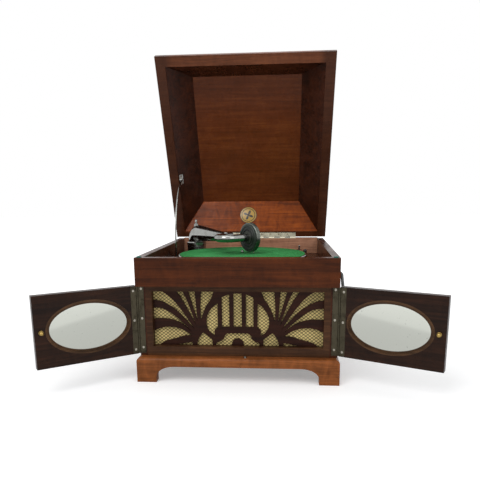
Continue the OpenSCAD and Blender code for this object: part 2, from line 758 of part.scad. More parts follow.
module horn_throat() {
    w = horn_wall;
    color("#3c3c3c") difference() {
        union() {
            translate([arm_at.x - neck_w / 2, neck_y, horn_low]) cube([neck_w, throat_box, neck_h]);
            throat_run(throat_tube, 0);
            at_xy(arm_at) translate([0, 0, board_low - 5]) cylinder(r = arm_base_r + arm_flange_w, h = 5);
        }
        translate([arm_at.x - neck_w / 2 + w, neck_y - 1, horn_low + w])
            cube([neck_w - 2 * w, throat_box - w + 1, neck_h - 2 * w]);
        translate([arm_at.x, neck_y + w, throat_z]) rotate([-90, 0, 0]) cylinder(r = throat_tube - 4, h = throat_box - w);
        throat_run(throat_tube - 4, 1);
        arm_base_screws() screw_hole(arm_screw_l);
    }
}

// Motor
module motor_bolts() {
    for (p = bolt_at) translate([spindle_at.x + p.x, spindle_at.y + p.y, board_low]) children();
}

module motor_frame() {
    color("#70757a") {
        difference() {
            translate([0, 0, motor_top]) plate_body();
            arbor_holes(motor_top - 1);
            motor_bolts() translate([0, 0, -plate_t - 1]) cylinder(r = bolt_r + run, h = plate_t + 2);
        }
        difference() {
            translate([0, 0, motor_low - plate_t]) plate_body();
            arbor_holes(motor_low - plate_t - 1);
            at_xy(barrel_at) translate([0, 0, motor_low - plate_t - 1]) cylinder(r = arbor_r + run, h = plate_t + 2);
        }
        for (p = pillar_at) translate([spindle_at.x + p.x, spindle_at.y + p.y, motor_low])
            cylinder(r = pillar_r, h = motor_h);
        clutch_bracket();
    }
}

// The plate's outline: a rectangle with round corners
module plate_body() {
    r = 10;
    w = [spindle_at.x - plate_reach[0], spindle_at.x + plate_reach[1]];
    d = [spindle_at.y - plate_reach[2], spindle_at.y + plate_reach[3]];
    linear_extrude(plate_t) polygon(concat(arc([w[1] - r, d[1] - r], r, 0, 90), arc([w[0] + r, d[1] - r], r, 90, 180),
        arc([w[0] + r, d[0] + r], r, 180, 270), arc([w[1] - r, d[0] + r], r, 270, 360)));
}

module arbor_holes(z) {
    at_xy(spindle_at) translate([0, 0, z]) cylinder(r = spindle_r + run, h = plate_t + 2);
    at_xy(inter_at) translate([0, 0, z]) cylinder(r = pivot_r + run, h = plate_t + 2);
    at_xy(governor_at) translate([0, 0, z]) cylinder(r = pivot_r + run, h = plate_t + 2);
}

// The block under the top plate that carries the crank shaft's end
module clutch_bracket() {
    x = barrel_at.x + wind_r + 12;
    difference() {
        translate([x, crank_y - 9, crank_z - 9]) cube([14, 18, motor_top - crank_z + 9]);
        translate([x - 1, crank_y, crank_z]) rotate([0, 90, 0]) cylinder(r = arbor_r + run, h = 16);
    }
}

module spring_barrel() {
    color("#8a8d90") at_xy(barrel_at) {
        difference() {
            translate([0, 0, barrel_z]) cylinder(r = barrel_r, h = barrel_h);
            translate([0, 0, barrel_z + barrel_wall]) cylinder(r = barrel_r - barrel_wall, h = barrel_h - 2 * barrel_wall);
            translate([0, 0, barrel_z - 1]) cylinder(r = arbor_r + run, h = barrel_h + 2);
        }
        rotate([0, 0, atan2(inter_at.y - barrel_at.y, inter_at.x - barrel_at.x)])
            translate([0, 0, gear_z]) gear(barrel_teeth, barrel_module, barrel_gear_t, arbor_r + run);
    }
}

// The arbor that the crank winds, with its crown wheel
module winding_arbor() {
    hub = crown_z - 5;
    color("#a08a50") at_xy(barrel_at) {
        difference() {
            translate([0, 0, motor_low - plate_t]) cylinder(r = arbor_r, h = crown_z - 2 - motor_low + plate_t);
            translate([-5, 1, barrel_z + barrel_h / 2]) cube([10, 5, 6]);
        }
        translate([0, 0, hub - 2]) cylinder(r = 8, h = 2);
        translate([0, 0, hub]) cylinder(r = wind_r + 2, h = crown_root - hub);
        for (k = [0:wind_wheel_teeth - 1]) rotate([0, 0, 360 * k / wind_wheel_teeth])
            translate([wind_r - wheel_t / 2, 0, 0]) rotate([90, 0, 90]) linear_extrude(wheel_t)
                polygon([[-0.62, crown_root - 0.2], [0.62, crown_root - 0.2], [0.62, crown_z], [0.3, crown_tip],
                    [-0.3, crown_tip], [-0.62, crown_z]]);
    }
}
crown_root = crown_z - 1.25 * wind_module;
crown_tip = crown_z + 0.8 * wind_module;

module intermediate_gear() {
    toward_barrel = atan2(barrel_at.y - inter_at.y, barrel_at.x - inter_at.x);
    toward_spindle = atan2(spindle_at.y - inter_at.y, spindle_at.x - inter_at.x);
    color("#b08d4f") at_xy(inter_at) {
        translate([0, 0, motor_low - plate_t]) cylinder(r = pivot_r, h = motor_h + 2 * plate_t);
        translate([0, 0, motor_low + face_gap]) cylinder(r = pivot_r + 1.5, h = motor_h - 2 * face_gap);
        rotate([0, 0, toward_barrel + 180 / inter_pinion_teeth]) translate([0, 0, gear_z - 1])
            gear(inter_pinion_teeth, barrel_module, barrel_gear_t + 2);
        rotate([0, 0, toward_spindle]) translate([0, 0, inter_z]) gear(inter_wheel_teeth, inter_module, wheel_t);
    }
}

module governor() {
    low = motor_low + 14;
    color("#b08d4f") at_xy(governor_at) {
        translate([0, 0, motor_low - plate_t]) cylinder(r = pivot_r, h = motor_h + 2 * plate_t);
        rotate([0, 0, 180 / governor_pinion_teeth]) translate([0, 0, governor_z - 1])
            gear(governor_pinion_teeth, governor_module, wheel_t + 2);
        translate([0, 0, low]) cylinder(r = 5, h = 5);
        translate([0, 0, low + 30]) cylinder(r = 5, h = 4);
        translate([0, 0, low + 34]) cylinder(r = 10, h = 1.5);
        for (k = [0:2]) rotate([0, 0, 120 * k + 90]) {
            translate([4, -1.5, low]) cube([1, 3, 34]);
            translate([7.5, 0, low + 17]) sphere(r = weight_r);
        }
    }
}

module spindle() {
    color("silver") at_xy(spindle_at) {
        translate([0, 0, motor_low - plate_t]) rotate_extrude() polygon(concat([[0, 0], [spindle_r, 0],
            [spindle_r, felt_top - motor_low + plate_t], [spindle_pin_r, felt_top - motor_low + plate_t]],
            arc([0, felt_top - motor_low + plate_t + spindle_pin_h - spindle_pin_r], spindle_pin_r, 0, 90)));
        rotate([0, 0, 180 + 180 / spindle_pinion_teeth + spindle_phase]) translate([0, 0, inter_z - 1])
            gear(spindle_pinion_teeth, inter_module, wheel_t + 2);
        rotate([0, 0, 180]) translate([0, 0, governor_z]) gear(governor_wheel_teeth, governor_module, wheel_t);
    }
}
spindle_phase = atan2(spindle_at.y - inter_at.y, spindle_at.x - inter_at.x);

module platter() {
    r = platter_r;
    t = platter_t;
    low = platter_top - skirt_h;
    color("#c9ccd0") at_xy(spindle_at) {
        rotate_extrude($fn = 160) polygon(concat([[spindle_r + run, platter_top - t], [spindle_r + run, platter_top]],
            arc([r - 3, platter_top - 3], 3, 90, 0), [[r, low], [r - t, low], [r - t, platter_top - 3.5],
            [r - 3.5, platter_top - t]]));
        difference() {
            translate([0, 0, platter_top - t - 9]) cylinder(r = 13, h = 9 + t / 2);
            translate([0, 0, platter_top - t - 10]) cylinder(r = spindle_r + run, h = 20);
        }
    }
}

module turntable_felt() {
    color("#1f6b35") at_xy(spindle_at) translate([0, 0, platter_top]) difference() {
        cylinder(r = felt_r, h = felt_t, $fn = 160);
        translate([0, 0, -1]) cylinder(r = spindle_r + fit_gap, h = felt_t + 2);
    }
}

// Crank
module crank_shaft() {
    x0 = barrel_at.x + wind_r - 3;
    color("silver") translate([0, crank_y, crank_z]) {
        difference() {
            translate([x0, 0, 0]) rotate([0, 90, 0]) cylinder(r = arbor_r, h = half_w - 1 - x0);
            translate([socket_x, 0, 0]) rotate([0, 90, 0]) cylinder(r = crank_stub_r, h = wall_t);
        }
        translate([barrel_at.x + wind_r - wheel_t / 2, 0, 0]) rotate([0, 90, 0])
            rotate([0, 0, 180 / wind_pinion_teeth]) gear(wind_pinion_teeth, wind_module, wheel_t);
    }
}
crank_stub_r = 2.5;

// A quarter bend of round rod from the origin, going along +X and turning to +Y
module rod_bend(r, rod) {
    translate([0, r, 0]) rotate([0, 0, -90]) rotate_extrude(angle = 90) translate([r, 0]) circle(r = rod);
}

module crank_arm() {
    rod = crank_rod_r;
    stem = arm_plane - bend_r;
    far = crank_arm_l - 2 * bend_r;
    color("#3a3a3a") translate([0, crank_y, crank_z]) rotate([-90 - (90 - crank_angle), 0, 0]) {
        translate([socket_x + 0.2, 0, 0]) rotate([0, 90, 0]) cylinder(r = crank_stub_r, h = half_w - socket_x);
        translate([half_w - 1 + face_gap, 0, 0]) rotate([0, 90, 0]) cylinder(r = rod, h = stem - half_w + 1 - face_gap);
        translate([stem, 0, 0]) rod_bend(bend_r, rod);
        translate([arm_plane, bend_r, 0]) rotate([-90, 0, 0]) cylinder(r = rod, h = far);
        translate([arm_plane, crank_arm_l - bend_r, 0]) mirror([1, -1, 0]) rod_bend(bend_r, rod);
        translate([arm_plane + bend_r, crank_arm_l, 0]) rotate([0, 90, 0]) cylinder(r = rod, h = 3);
        translate([arm_plane + bend_r + 3, crank_arm_l, 0]) rotate([0, 90, 0])
            cylinder(r = grip_pin_r, h = grip_l + 1.5);
        translate([arm_plane + bend_r + 3 + face_gap + grip_l + face_gap, crank_arm_l, 0]) rotate([0, 90, 0])
            cylinder(r = 4.5, h = 2);
    }
}
grip_pin_r = 2.6;

module crank_grip() {
    color("#4a1f10") translate([0, crank_y, crank_z]) rotate([-90 - (90 - crank_angle), 0, 0])
        translate([arm_plane + bend_r + 3 + face_gap, crank_arm_l, 0]) rotate([0, 90, 0]) difference() {
            rotate_extrude() polygon(concat([[0, 0], [6.5, 0]],
                curve([[6.5, 0], [7.5, 4], [grip_r * 0.8, grip_l * 0.25], [grip_r, grip_l * 0.6],
                    [grip_r * 0.92, grip_l * 0.88], [6, grip_l]], 5), [[6, grip_l], [0, grip_l]]));
            translate([0, 0, -1]) cylinder(r = grip_pin_r + run, h = grip_l + 2);
        }
}

module crank_screws() {
    for (a = [45:90:315]) translate([half_w + 2.5, crank_y, crank_z]) rotate([a, 0, 0])
        translate([0, 11, 0]) rotate([0, 90, 0]) children();
}

module crank_escutcheon() {
    color("#b8bcc0") difference() {
        translate([half_w, crank_y, crank_z]) rotate([0, 90, 0]) cylinder(r = 16, h = 2.5);
        translate([half_w - 1, crank_y, crank_z]) rotate([0, 90, 0]) cylinder(r = arbor_r + 1.5, h = 5);
        crank_screws() screw_hole();
    }
}

// Controls on the motor board
brake_at = [brake_x, brake_y];
brake_aim = atan2(spindle_at.y - brake_y, spindle_at.x - brake_x);
brake_rim = norm(spindle_at - brake_at) - platter_r;
plate_z = 2;
module at_brake() {
    at_xy(brake_at) rotate([0, 0, brake_aim]) children();
}

module brake_lever() {
    z = platter_top - skirt_h / 2;
    color("silver") at_brake() {
        translate([0, 0, board_top + plate_z + face_gap]) cylinder(r = 4, h = z + 1 - board_top - plate_z - face_gap);
        translate([0, 0, board_top]) cylinder(r = 2, h = 6);
        translate([-brake_handle_l - 4, -3.5, z - 1]) cube([brake_handle_l + brake_rim - 1, 7, 2]);
        translate([brake_rim - 6 - face_gap, -3.5, z - 4]) cube([6, 7, 8]);
        translate([-brake_handle_l, 0, z]) cylinder(r = brake_pin_r, h = felt_top + 3.5 - z);
        translate([-brake_handle_l, 0, felt_top + 3.5]) sphere(r = brake_pin_r);
    }
}

module speed_knob() {
    color("#20201f") translate([speed_x, speed_y, 0]) {
        translate([0, 0, board_low - 6]) cylinder(r = 2.5, h = board_top + 16 - board_low + 6);
        translate([0, 0, board_top + 14]) rotate_extrude() polygon(concat([[0, 0], [speed_knob_r - 0.8, 0], [speed_knob_r, 1]],
            arc([speed_knob_r - 2, 9], 2, 0, 90, 4), [[0, 11]]));
        translate([0, 0, board_top + plate_z + face_gap]) rotate([0, 0, 200]) translate([0, -1.25, 0]) cube([12, 2.5, 1.2]);
    }
}

module board_plates() {
    color("#c9ccd0") difference() {
        union() {
            at_xy(brake_at) translate([0, 0, board_top]) cylinder(r = 11, h = plate_z);
            translate([speed_x, speed_y, board_top]) cylinder(r = 16, h = plate_z);
            translate([stay_x - stay_from_wall + 0.5, stay_y - 16, board_top]) cube([2 * stay_from_wall, 34, plate_z]);
        }
        at_xy(brake_at) translate([0, 0, board_top - 1]) cylinder(r = 2 + run, h = 5);
        translate([speed_x, speed_y, board_top - 1]) cylinder(r = 2.5 + run, h = 5);
        translate([stay_x - stay_rod_r - 0.6, stay_y - 4, board_top - 1]) cube([2 * stay_rod_r + 1.2, 9, 5]);
        plate_screws() screw_hole();
    }
}

module plate_screws() {
    at_xy(brake_at) for (a = [30, 210]) rotate([0, 0, a]) translate([7.5, 0, board_top + plate_z]) children();
    translate([speed_x, speed_y, 0]) for (a = [90, 270]) rotate([0, 0, a])
        translate([12.5, 0, board_top + plate_z]) children();
    for (y = [-12, 14]) translate([stay_x, stay_y + y, board_top + plate_z]) children();
}

module arm_base_screws() {
    at_xy(arm_at) for (a = [-20, 100, 220]) rotate([0, 0, a])
        translate([arm_base_r + 3.8, 0, board_top + arm_flange_t]) children();
}

// Tone arm
module at_arm() {
    at_xy(arm_at) rotate([0, 0, -arm_yaw]) children();
}

// The head's frame, with the swivel's axis along Y
module at_swivel() {
    translate([arm_l, 0, neck_z]) rotate([0, 0, head_turn]) children();
}

module at_head() {
    at_arm() at_swivel() children();
}

module arm_base() {
    r = arm_base_r;
    color("#c9ccd0") difference() {
        at_xy(arm_at) translate([0, 0, board_top]) rotate_extrude() polygon([[spigot_r + run, 0], [r + arm_flange_w, 0],
            [r + arm_flange_w, arm_flange_t - 1], [r + arm_flange_w - 1, arm_flange_t], [r, arm_flange_t], [r, arm_base_h - 9],
            [r + 1.2, arm_base_h - 8], [r + 1.2, arm_base_h - 2], [r, arm_base_h - 1], [r - 1, arm_base_h],
            [spigot_r + run, arm_base_h]]);
        arm_base_screws() screw_hole(arm_screw_l);
    }
}

// The elbow turns from upright to the arm's pitch, then the tube tapers to the collar
module arm_shape(wall, l) {
    k = (elbow_r - arm_end_r) / (arm_l - elbow_bend);
    r = elbow_r - wall;
    translate([elbow_bend, 0, elbow_low]) rotate([90, 0, 180]) rotate_extrude(angle = 90 - tube_pitch)
        translate([elbow_bend, 0]) circle(r = r);
    translate([elbow_bend * (1 - sin(tube_pitch)), 0, elbow_low + elbow_bend * cos(tube_pitch)])
        rotate([0, 90 - tube_pitch, 0]) {
            cylinder(r1 = r, r2 = r - k * l, h = l);
            translate([0, 0, -1]) cylinder(r = r - 0.6, h = 2);
        }
}

module tone_arm() {
    tail = 4;
    foot = base_top - arm_base_h + 6;
    color("#d4d6d8") at_arm() difference() {
        union() {
            difference() {
                arm_shape(0, arm_l - elbow_bend);
                arm_shape(arm_wall, arm_l - elbow_bend - collar_r - 2);
            }
            translate([0, 0, foot]) cylinder(r = spigot_r, h = elbow_low - foot + 1);
            translate([0, 0, elbow_low]) cylinder(r = elbow_r - arm_wall / 2, h = 2);
            at_swivel() translate([0, collar_half + tail, 0]) rotate([90, 0, 0])
                cylinder(r = collar_r, h = 2 * collar_half + tail);
            translate([0, 0, elbow_z + elbow_r - 6]) cylinder(r = 6, h = 5.5);
        }
        translate([0, 0, foot - 1]) cylinder(r = spigot_r - arm_wall, h = elbow_low - foot + 4);
        at_swivel() {
            translate([0, collar_half, 0]) rotate([90, 0, 0]) cylinder(r = neck_spigot_r + run, h = 4 * collar_half);
            translate([0, -collar_half, 0]) rotate([90, 0, 0]) cylinder(r = collar_r + 1, h = 2 * collar_half);
        }
        translate([0, 0, elbow_z + elbow_r - 3]) cylinder(r = 1.5 + run, h = 4);
    }
}
neck_spigot_r = 8;

module pivot_knob() {
    z = elbow_z + elbow_r - 0.5;
    color("silver") at_arm() translate([0, 0, z]) {
        translate([0, 0, -2]) cylinder(r = 1.5, h = 3);
        rotate_extrude() polygon(concat([[0, 0], [6, 0], [6, 2], [4.2, 3], [4.2, 5], [2.2, 6], [2.2, 7]],
            arc([0, 10], 3.7, -50, 55), [[1.6, 14.2], [0, 15.5]]));
    }
}

// The gooseneck swivels in the collar and carries the sound box
module gooseneck() {
    r = neck_r;
    wall = 1.6;
    y = -collar_half - neck_leg;
    color("#c9ccd0") at_head() difference() {
        union() {
            translate([0, -collar_half - face_gap, 0]) rotate([90, 0, 0]) cylinder(r = r, h = neck_leg - face_gap);
            translate([0, collar_half - 1.5, 0]) rotate([90, 0, 0]) cylinder(r = neck_spigot_r, h = 2 * collar_half);
            translate([neck_bend, y, 0]) rotate([0, 0, 180]) rotate_extrude(angle = 180) translate([neck_bend, 0]) circle(r = r);
            translate([2 * neck_bend, y, 0]) rotate([-90, 0, 0]) cylinder(r = r, h = neck_reach + 4);
        }
        translate([0, collar_half, 0]) rotate([90, 0, 0]) cylinder(r = neck_spigot_r - wall, h = collar_half * 2 + neck_leg);
        translate([neck_bend, y, 0]) rotate([0, 0, 180]) rotate_extrude(angle = 180) translate([neck_bend, 0])
            circle(r = neck_spigot_r - wall);
        translate([2 * neck_bend, y, 0]) rotate([-90, 0, 0]) cylinder(r = neck_spigot_r - wall, h = neck_reach + 8);
    }
}

// Sound box pieces turn about an axis along +Y at the gooseneck's end
module at_box() {
    at_head() translate([box_x, 0, 0]) rotate([-90, 0, 0]) children();
}

module sound_box() {
    r = box_r;
    color("#8f948c") {
        at_box() rotate_extrude($fn = 96) translate([0, box_shell]) polygon([[r - 3, 0], [r - 1, 0], [r, 1], [r, 4],
            [r - 0.8, 4.5], [r - 0.8, 5.5], [r, 6], [r, box_t - 1], [r - 1, box_t], [r - 8, box_t],
            [r - 9, box_t - 1], [r - 9, box_t - 2.5], [r - 3, box_t - 2.5]]);
        at_head() for (s = [-1, 1]) translate([box_x + s * 6.2 - 1.25, box_front, 2 - box_r]) cube([2.5, 4, 7]);
    }
}

module sound_box_back() {
    t = box_back_t;
    r = box_r - 3 - fit_gap;
    color("#1d1d1f") at_box() translate([0, 0, box_back]) rotate_extrude($fn = 96) polygon([[neck_r + run, 0], [15, 0],
        [16, 1.4], [18, 1.4], [19, 0.4], [22, 0.4], [23, 1.4], [25, 1.4], [26, 0.6], [29, 0.6], [30, 1.6],
        [r, 2], [r, t], [neck_r + run, t]]);
}

module diaphragm() {
    color("#c8b890") at_box() translate([0, 0, box_front - 2.5 - diaphragm_t]) difference() {
        cylinder(r = box_r - 3 - fit_gap, h = diaphragm_t);
        translate([0, 0, -1]) cylinder(r = 0.8 + run, h = 3);
    }
}

// The lever from the needle's socket to the middle of the diaphragm
module needle_bar() {
    low = needle_tip + 12 - neck_z;
    color("silver") at_head() difference() {
        union() {
            translate([box_x - 1.5, needle_y - 0.8, low]) cube([3, 1.6, 1.5 - low]);
            translate([box_x, needle_y, 0]) rotate([90, 0, 0]) cylinder(r = 0.8, h = needle_y - box_front + 3.5 + diaphragm_t);
            at_needle() translate([0, 0, 6]) cylinder(r = 2.4, h = 9);
            translate([box_x - 4.7, needle_y, 6 - box_r]) rotate([0, 90, 0]) cylinder(r = 1, h = 9.4);
        }
        at_needle() cylinder(r = 0.7 + run, h = needle_l + 1);
        at_needle() translate([0, 0, 9]) rotate([-90, 0, 0]) cylinder(r = 1 + run, h = 5);
    }
}

module at_needle() {
    translate([box_x + 5, needle_y, needle_tip - neck_z]) rotate([0, -needle_lean, 0]) children();
}

module needle_screw() {
    color("silver") at_head() at_needle() translate([0, 0, 9]) rotate([-90, 0, 0]) {
        translate([0, 0, 0.9]) cylinder(r = 1, h = 4);
        translate([0, 0, 4]) linear_extrude(4) polygon([for (i = [0:35]) polar(i % 2 == 0 ? 3.2 : 2.9, 10 * i)]);
    }
}

module needle() {
    color("#dfe2e6") at_head() at_needle() {
        cylinder(r1 = 0.1, r2 = 0.7, h = 5);
        translate([0, 0, 5]) cylinder(r = 0.7, h = needle_l - 5);
    }
}

// Lid pieces are drawn closed and turned about the hinge pin
module on_lid() {
    translate([0, lid_pin_y, lid_pin_z]) rotate([-lid_angle, 0, 0]) translate([0, -lid_pin_y, -lid_pin_z]) children();
}

// A level rectangle of the lid: the same distance in from all edges
function lid_even(d, z) = [lid_x - d, lid_front + d, lid_back - d, lid_z + z];
// The sloping panels' planes at a height, on their outside when skin is 1
function lid_hip(z, skin) = let (h = z - rim_lip) [lid_x - rim_w - side_run * h + skin * side_skin,
    lid_front + rim_w + front_run * h - skin * front_skin,
    lid_back - rim_back_w - back_run * h + skin * back_skin, lid_z + z];

// Plan of one mitred part, between the outer corners a and the inner b
module lid_wedge(k, a, b) {
    plans = [
        [[-a[0], a[1]], [a[0], a[1]], [b[0], b[1]], [-b[0], b[1]]],
        [[a[0], a[1]], [a[0], a[2]], [b[0], b[2]], [b[0], b[1]]],
        [[a[0], a[2]], [-a[0], a[2]], [-b[0], b[2]], [b[0], b[2]]],
        [[-a[0], a[2]], [-a[0], a[1]], [-b[0], b[1]], [-b[0], b[2]]]];
    translate([0, 0, lid_z - 20]) linear_extrude(lid_rise + 60) polygon(plans[k]);
}

module lid_ring() {
    difference() {
        union() {
            tier(lid_even(0, 0), lid_even(0, rim_h));
            tier(lid_even(0, rim_h), lid_even(1.5, rim_h + 1.2));
            tier(lid_even(3.5, rim_h), lid_even(3.5, rim_h + 3));
            tier(lid_even(3.5, rim_h + 3), lid_even(5, rim_h + 6));
            tier(lid_even(5, rim_h + 6), lid_even(8, rim_h + 8.5));
            tier(lid_even(8, rim_h + 8.5), lid_even(14, rim_h + 10));
        }
        tier(lid_hip(rim_lip, 1), lid_hip(rim_lip + 30, 1));
        tier([lid_x - rim_w, lid_front + rim_w, lid_back - rim_back_w, lid_z - 1],
            [lid_x - rim_w, lid_front + rim_w, lid_back - rim_back_w, lid_z + rim_lip + 1]);
    }
}

module lid_frame() {
    a = lid_even(-5, 0);
    inner = [lid_x - rim_w, lid_front + rim_w, lid_back - rim_back_w];
    // The mitres run on past the inner corners
    b = [inner[0] - rim_w, inner[1] + rim_w, inner[2] - rim_back_w];
    outer = [inner[0] + 1.5 * rim_w, inner[1] - 1.5 * rim_w, inner[2] + 1.5 * rim_back_w];
    color("#5a2714") on_lid() difference() {
        for (k = [0:3]) intersection() {
            lid_ring();
            lid_wedge(k, outer, b);
        }
        lid_leaf_screws() screw_hole();
    }
}

module lid_slopes() {
    low = lid_hip(rim_lip, 0);
    top = lid_hip(lid_rise, 0);
    outer = low - 0.5 * (top - low);
    inner = top + 0.2 * (top - low);
    color("#70351c") on_lid() difference() {
        for (k = [0:3]) intersection() {
            difference() {
                tier(lid_hip(rim_lip, 1), lid_hip(lid_rise, 1));
                tier(lid_hip(rim_lip - 1, 0), lid_hip(lid_rise + 1, 0));
            }
            lid_wedge(k, outer, inner);
        }
        stay_screws() screw_hole(6);
        lid_leaf_screws() screw_hole();
    }
}

module lid_top() {
    edge = lid_hip(lid_rise, 1);
    function grown(d, z) = [edge[0] + d, edge[1] - d, edge[2] + d, lid_z + z];
    b = top_bead;
    color("#5f2c18") on_lid() {
        tier(grown(b, lid_rise), grown(b, lid_rise + lid_top_t - top_bevel));
        tier(grown(b, lid_rise + lid_top_t - top_bevel), grown(b - top_bevel, lid_rise + lid_top_t));
    }
}

// The stay: a rod bent to a quadrant about the lid hinge, on a bracket on the left slope
module stay_arc(r, a0, a1) {
    translate([stay_x, lid_pin_y, lid_pin_z]) rotate([-90, 0, 0]) rotate([0, 90, 0]) rotate([0, 0, a0])
        rotate_extrude(angle = a1 - a0, $fn = 96) translate([stay_r, 0]) circle(r = r);
}

stay_head_at = [stay_x, lid_pin_y - stay_r * cos(stay_head), lid_pin_z - stay_r * sin(stay_head)];
module at_slope() {
    v = 11;
    translate([-lid_x + rim_w + side_run * (v - rim_lip), stay_head_at.y, lid_z + v])
        rotate([0, atan2(1, -side_run), 0]) children();
}

module stay_screws() {
    at_slope() for (y = [-9, 9]) translate([0, y, 1.5]) children();
}

module lid_stay() {
    color("silver") on_lid() difference() {
        union() {
            stay_arc(stay_rod_r, stay_head, stay_end);
            stay_arc(2 * stay_rod_r, stay_end - 1.2, stay_end);
            at_slope() translate([-6, -14, 0]) cube([12, 28, 1.5]);
            intersection() {
                translate(stay_head_at) union() {
                    sphere(r = 3.4);
                    rotate([0, -90, 0]) cylinder(r = 3.4, h = stay_from_wall);
                }
                at_slope() translate([-20, -20, 0.5]) cube([40, 40, 20]);
            }
        }
        stay_screws() screw_hole(6);
    }
}

// Hinges
lid_leaf_w = 15.2;
lid_knuckle_l = lid_hinge_l / lid_knuckles;
module lid_knuckle_row(first) {
    for (k = [first:2:lid_knuckles - 1]) translate([-lid_hinge_l / 2 + k * lid_knuckle_l + fit_gap, lid_pin_y, lid_pin_z])
        rotate([0, 90, 0]) children();
}

module lid_knuckles_of(first) {
    lid_knuckle_row(first) cylinder(r = lid_barrel_r, h = lid_knuckle_l - 2 * fit_gap);
}

module lid_leaf(first, z) {
    difference() {
        union() {
            lid_knuckles_of(first);
            translate([-lid_hinge_l / 2, lid_pin_y - lid_barrel_r - lid_leaf_w, z]) cube([lid_hinge_l, lid_leaf_w, leaf_t]);
            lid_knuckle_row(first) translate([z > lid_pin_z ? -leaf_t - 0.1 : 0.1, -lid_barrel_r, 0])
                cube([leaf_t, lid_barrel_r, lid_knuckle_l - 2 * fit_gap]);
        }
        translate([-lid_hinge_l / 2 - 1, lid_pin_y, lid_pin_z]) rotate([0, 90, 0])
            cylinder(r = hinge_pin_r + run, h = lid_hinge_l + 2);
    }
}

lid_screw_n = floor((lid_hinge_l - 24) / lid_screw_pitch) + 1;
module lid_screw_row() {
    for (k = [0:lid_screw_n - 1]) translate([(k - (lid_screw_n - 1) / 2) * lid_screw_pitch - 4.5,
        lid_pin_y - lid_barrel_r - lid_leaf_w * 0.55, 0]) children();
}

module lid_leaf_screws() {
    lid_screw_row() translate([0, 0, lid_pin_z + 0.1]) rotate([180, 0, 0]) children();
}

module lid_case_screws() {
    lid_screw_row() translate([0, 0, lid_pin_z - 0.1]) children();
}

module lid_hinge_leaf() {
    color("#c4c6c8") on_lid() difference() {
        lid_leaf(1, lid_pin_z + 0.1);
        lid_leaf_screws() screw_hole();
    }
}

module door_leaf_body(first, y) {
    h = hinge_high - hinge_low;
    difference() {
        union() {
            for (k = [first:2:knuckle_count - 1]) translate([0, 0, hinge_low + k * knuckle_h + fit_gap]) {
                cylinder(r = door_barrel_r, h = knuckle_h - 2 * fit_gap);
                translate([0, y, 0]) cube([door_leaf_w / 2, door_leaf_t, knuckle_h - 2 * fit_gap]);
            }
            translate([door_barrel_r + face_gap, y, hinge_low]) cube([door_leaf_w - door_barrel_r - face_gap, door_leaf_t, h]);
        }
        translate([0, 0, hinge_low - 1]) cylinder(r = hinge_pin_r + run, h = h + 2);
    }
}

module door_leaf_screws() {
    for (z = [hinge_low + screw_inset, door_mid, hinge_high - screw_inset])
        translate([door_leaf_w * 0.6, -door_set, z]) rotate([-90, 0, 0]) children();
}

module door_case_screws() {
    for (z = [hinge_low + screw_inset, door_mid, hinge_high - screw_inset])
        translate([pin_x - door_leaf_w * 0.6, front_recess, z + 4]) rotate([90, 0, 0]) children();
}

module hinge_case_leaves() {
    color("#5e553f") {
        sides() translate([-pin_x, front_recess, 0]) difference() {
            door_leaf_body(0, 0);
            translate([pin_x, -front_recess, 0]) mirror([1, 0, 0]) door_case_screws() screw_hole();
        }
        difference() {
            lid_leaf(0, lid_pin_z - 0.1 - leaf_t);
            lid_case_screws() screw_hole();
        }
        sides() translate([pin_x, front_recess, hinge_low]) cylinder(r = hinge_pin_r, h = hinge_high - hinge_low);
        translate([-lid_hinge_l / 2, lid_pin_y, lid_pin_z]) rotate([0, 90, 0]) cylinder(r = hinge_pin_r, h = lid_hinge_l);
    }
}

// Doors, drawn closed as the left one, with the hinge pin at the origin
module on_left_door() {
    translate([-pin_x, front_recess, 0]) rotate([0, 0, -door_open_left]) children();
}

module on_right_door() {
    translate([pin_x, front_recess, 0]) rotate([0, 0, door_open_right]) mirror([1, 0, 0]) children();
}

// An oval prism across the door, from depth a to depth b behind its inner face
module door_oval(band, a, b) {
    translate([oval_from_pin, -door_set - a, door_mid]) rotate([90, 0, 0])
        linear_extrude(b - a) polygon(oval(oval_w / 2 - band, oval_h / 2 - band));
}

module door() {
    color("#3b1a14") difference() {
        translate([door_edge, -door_out, door_low]) cube([door_end - door_edge, door_t, door_high - door_low]);
        door_oval(0, -1, oval_depth + glass_t);
        door_oval(oval_band, 0, door_t + 1);
        translate([0, 0, door_low - 1]) cylinder(r = door_barrel_r + face_gap, h = door_high - door_low + 2);
        translate([0, -door_set - door_leaf_t, hinge_low - fit_gap])
            cube([door_leaf_w + fit_gap, 2, hinge_high - hinge_low + 2 * fit_gap]);
        door_leaf_screws() screw_hole();
        translate([knob_s, 1, door_mid]) rotate([90, 0, 0]) cylinder(r = 1.5 + run, h = door_out + 2);
    }
}

module door_hinge() {
    color("#5e553f") difference() {
        door_leaf_body(1, -door_set - door_leaf_t);
        door_leaf_screws() screw_hole();
    }
}

// The moulding over the glass slopes in from the door's face
module oval_frame() {
    steps = 4;
    color("#5b3c24") for (i = [0:steps - 1]) difference() {
        door_oval(fit_gap, oval_depth * i / steps, oval_depth * (i + 1) / steps);
        door_oval(oval_band * (0.25 + 0.75 * (i + 1) / steps), -1, oval_depth + 1);
    }
}

module glass() {
    color("#cfd6d6") {
        door_oval(fit_gap, oval_depth + glass_t / 2, oval_depth + glass_t);
        door_oval(oval_band * 0.5, oval_depth, oval_depth + glass_t / 2 + eps);
    }
}

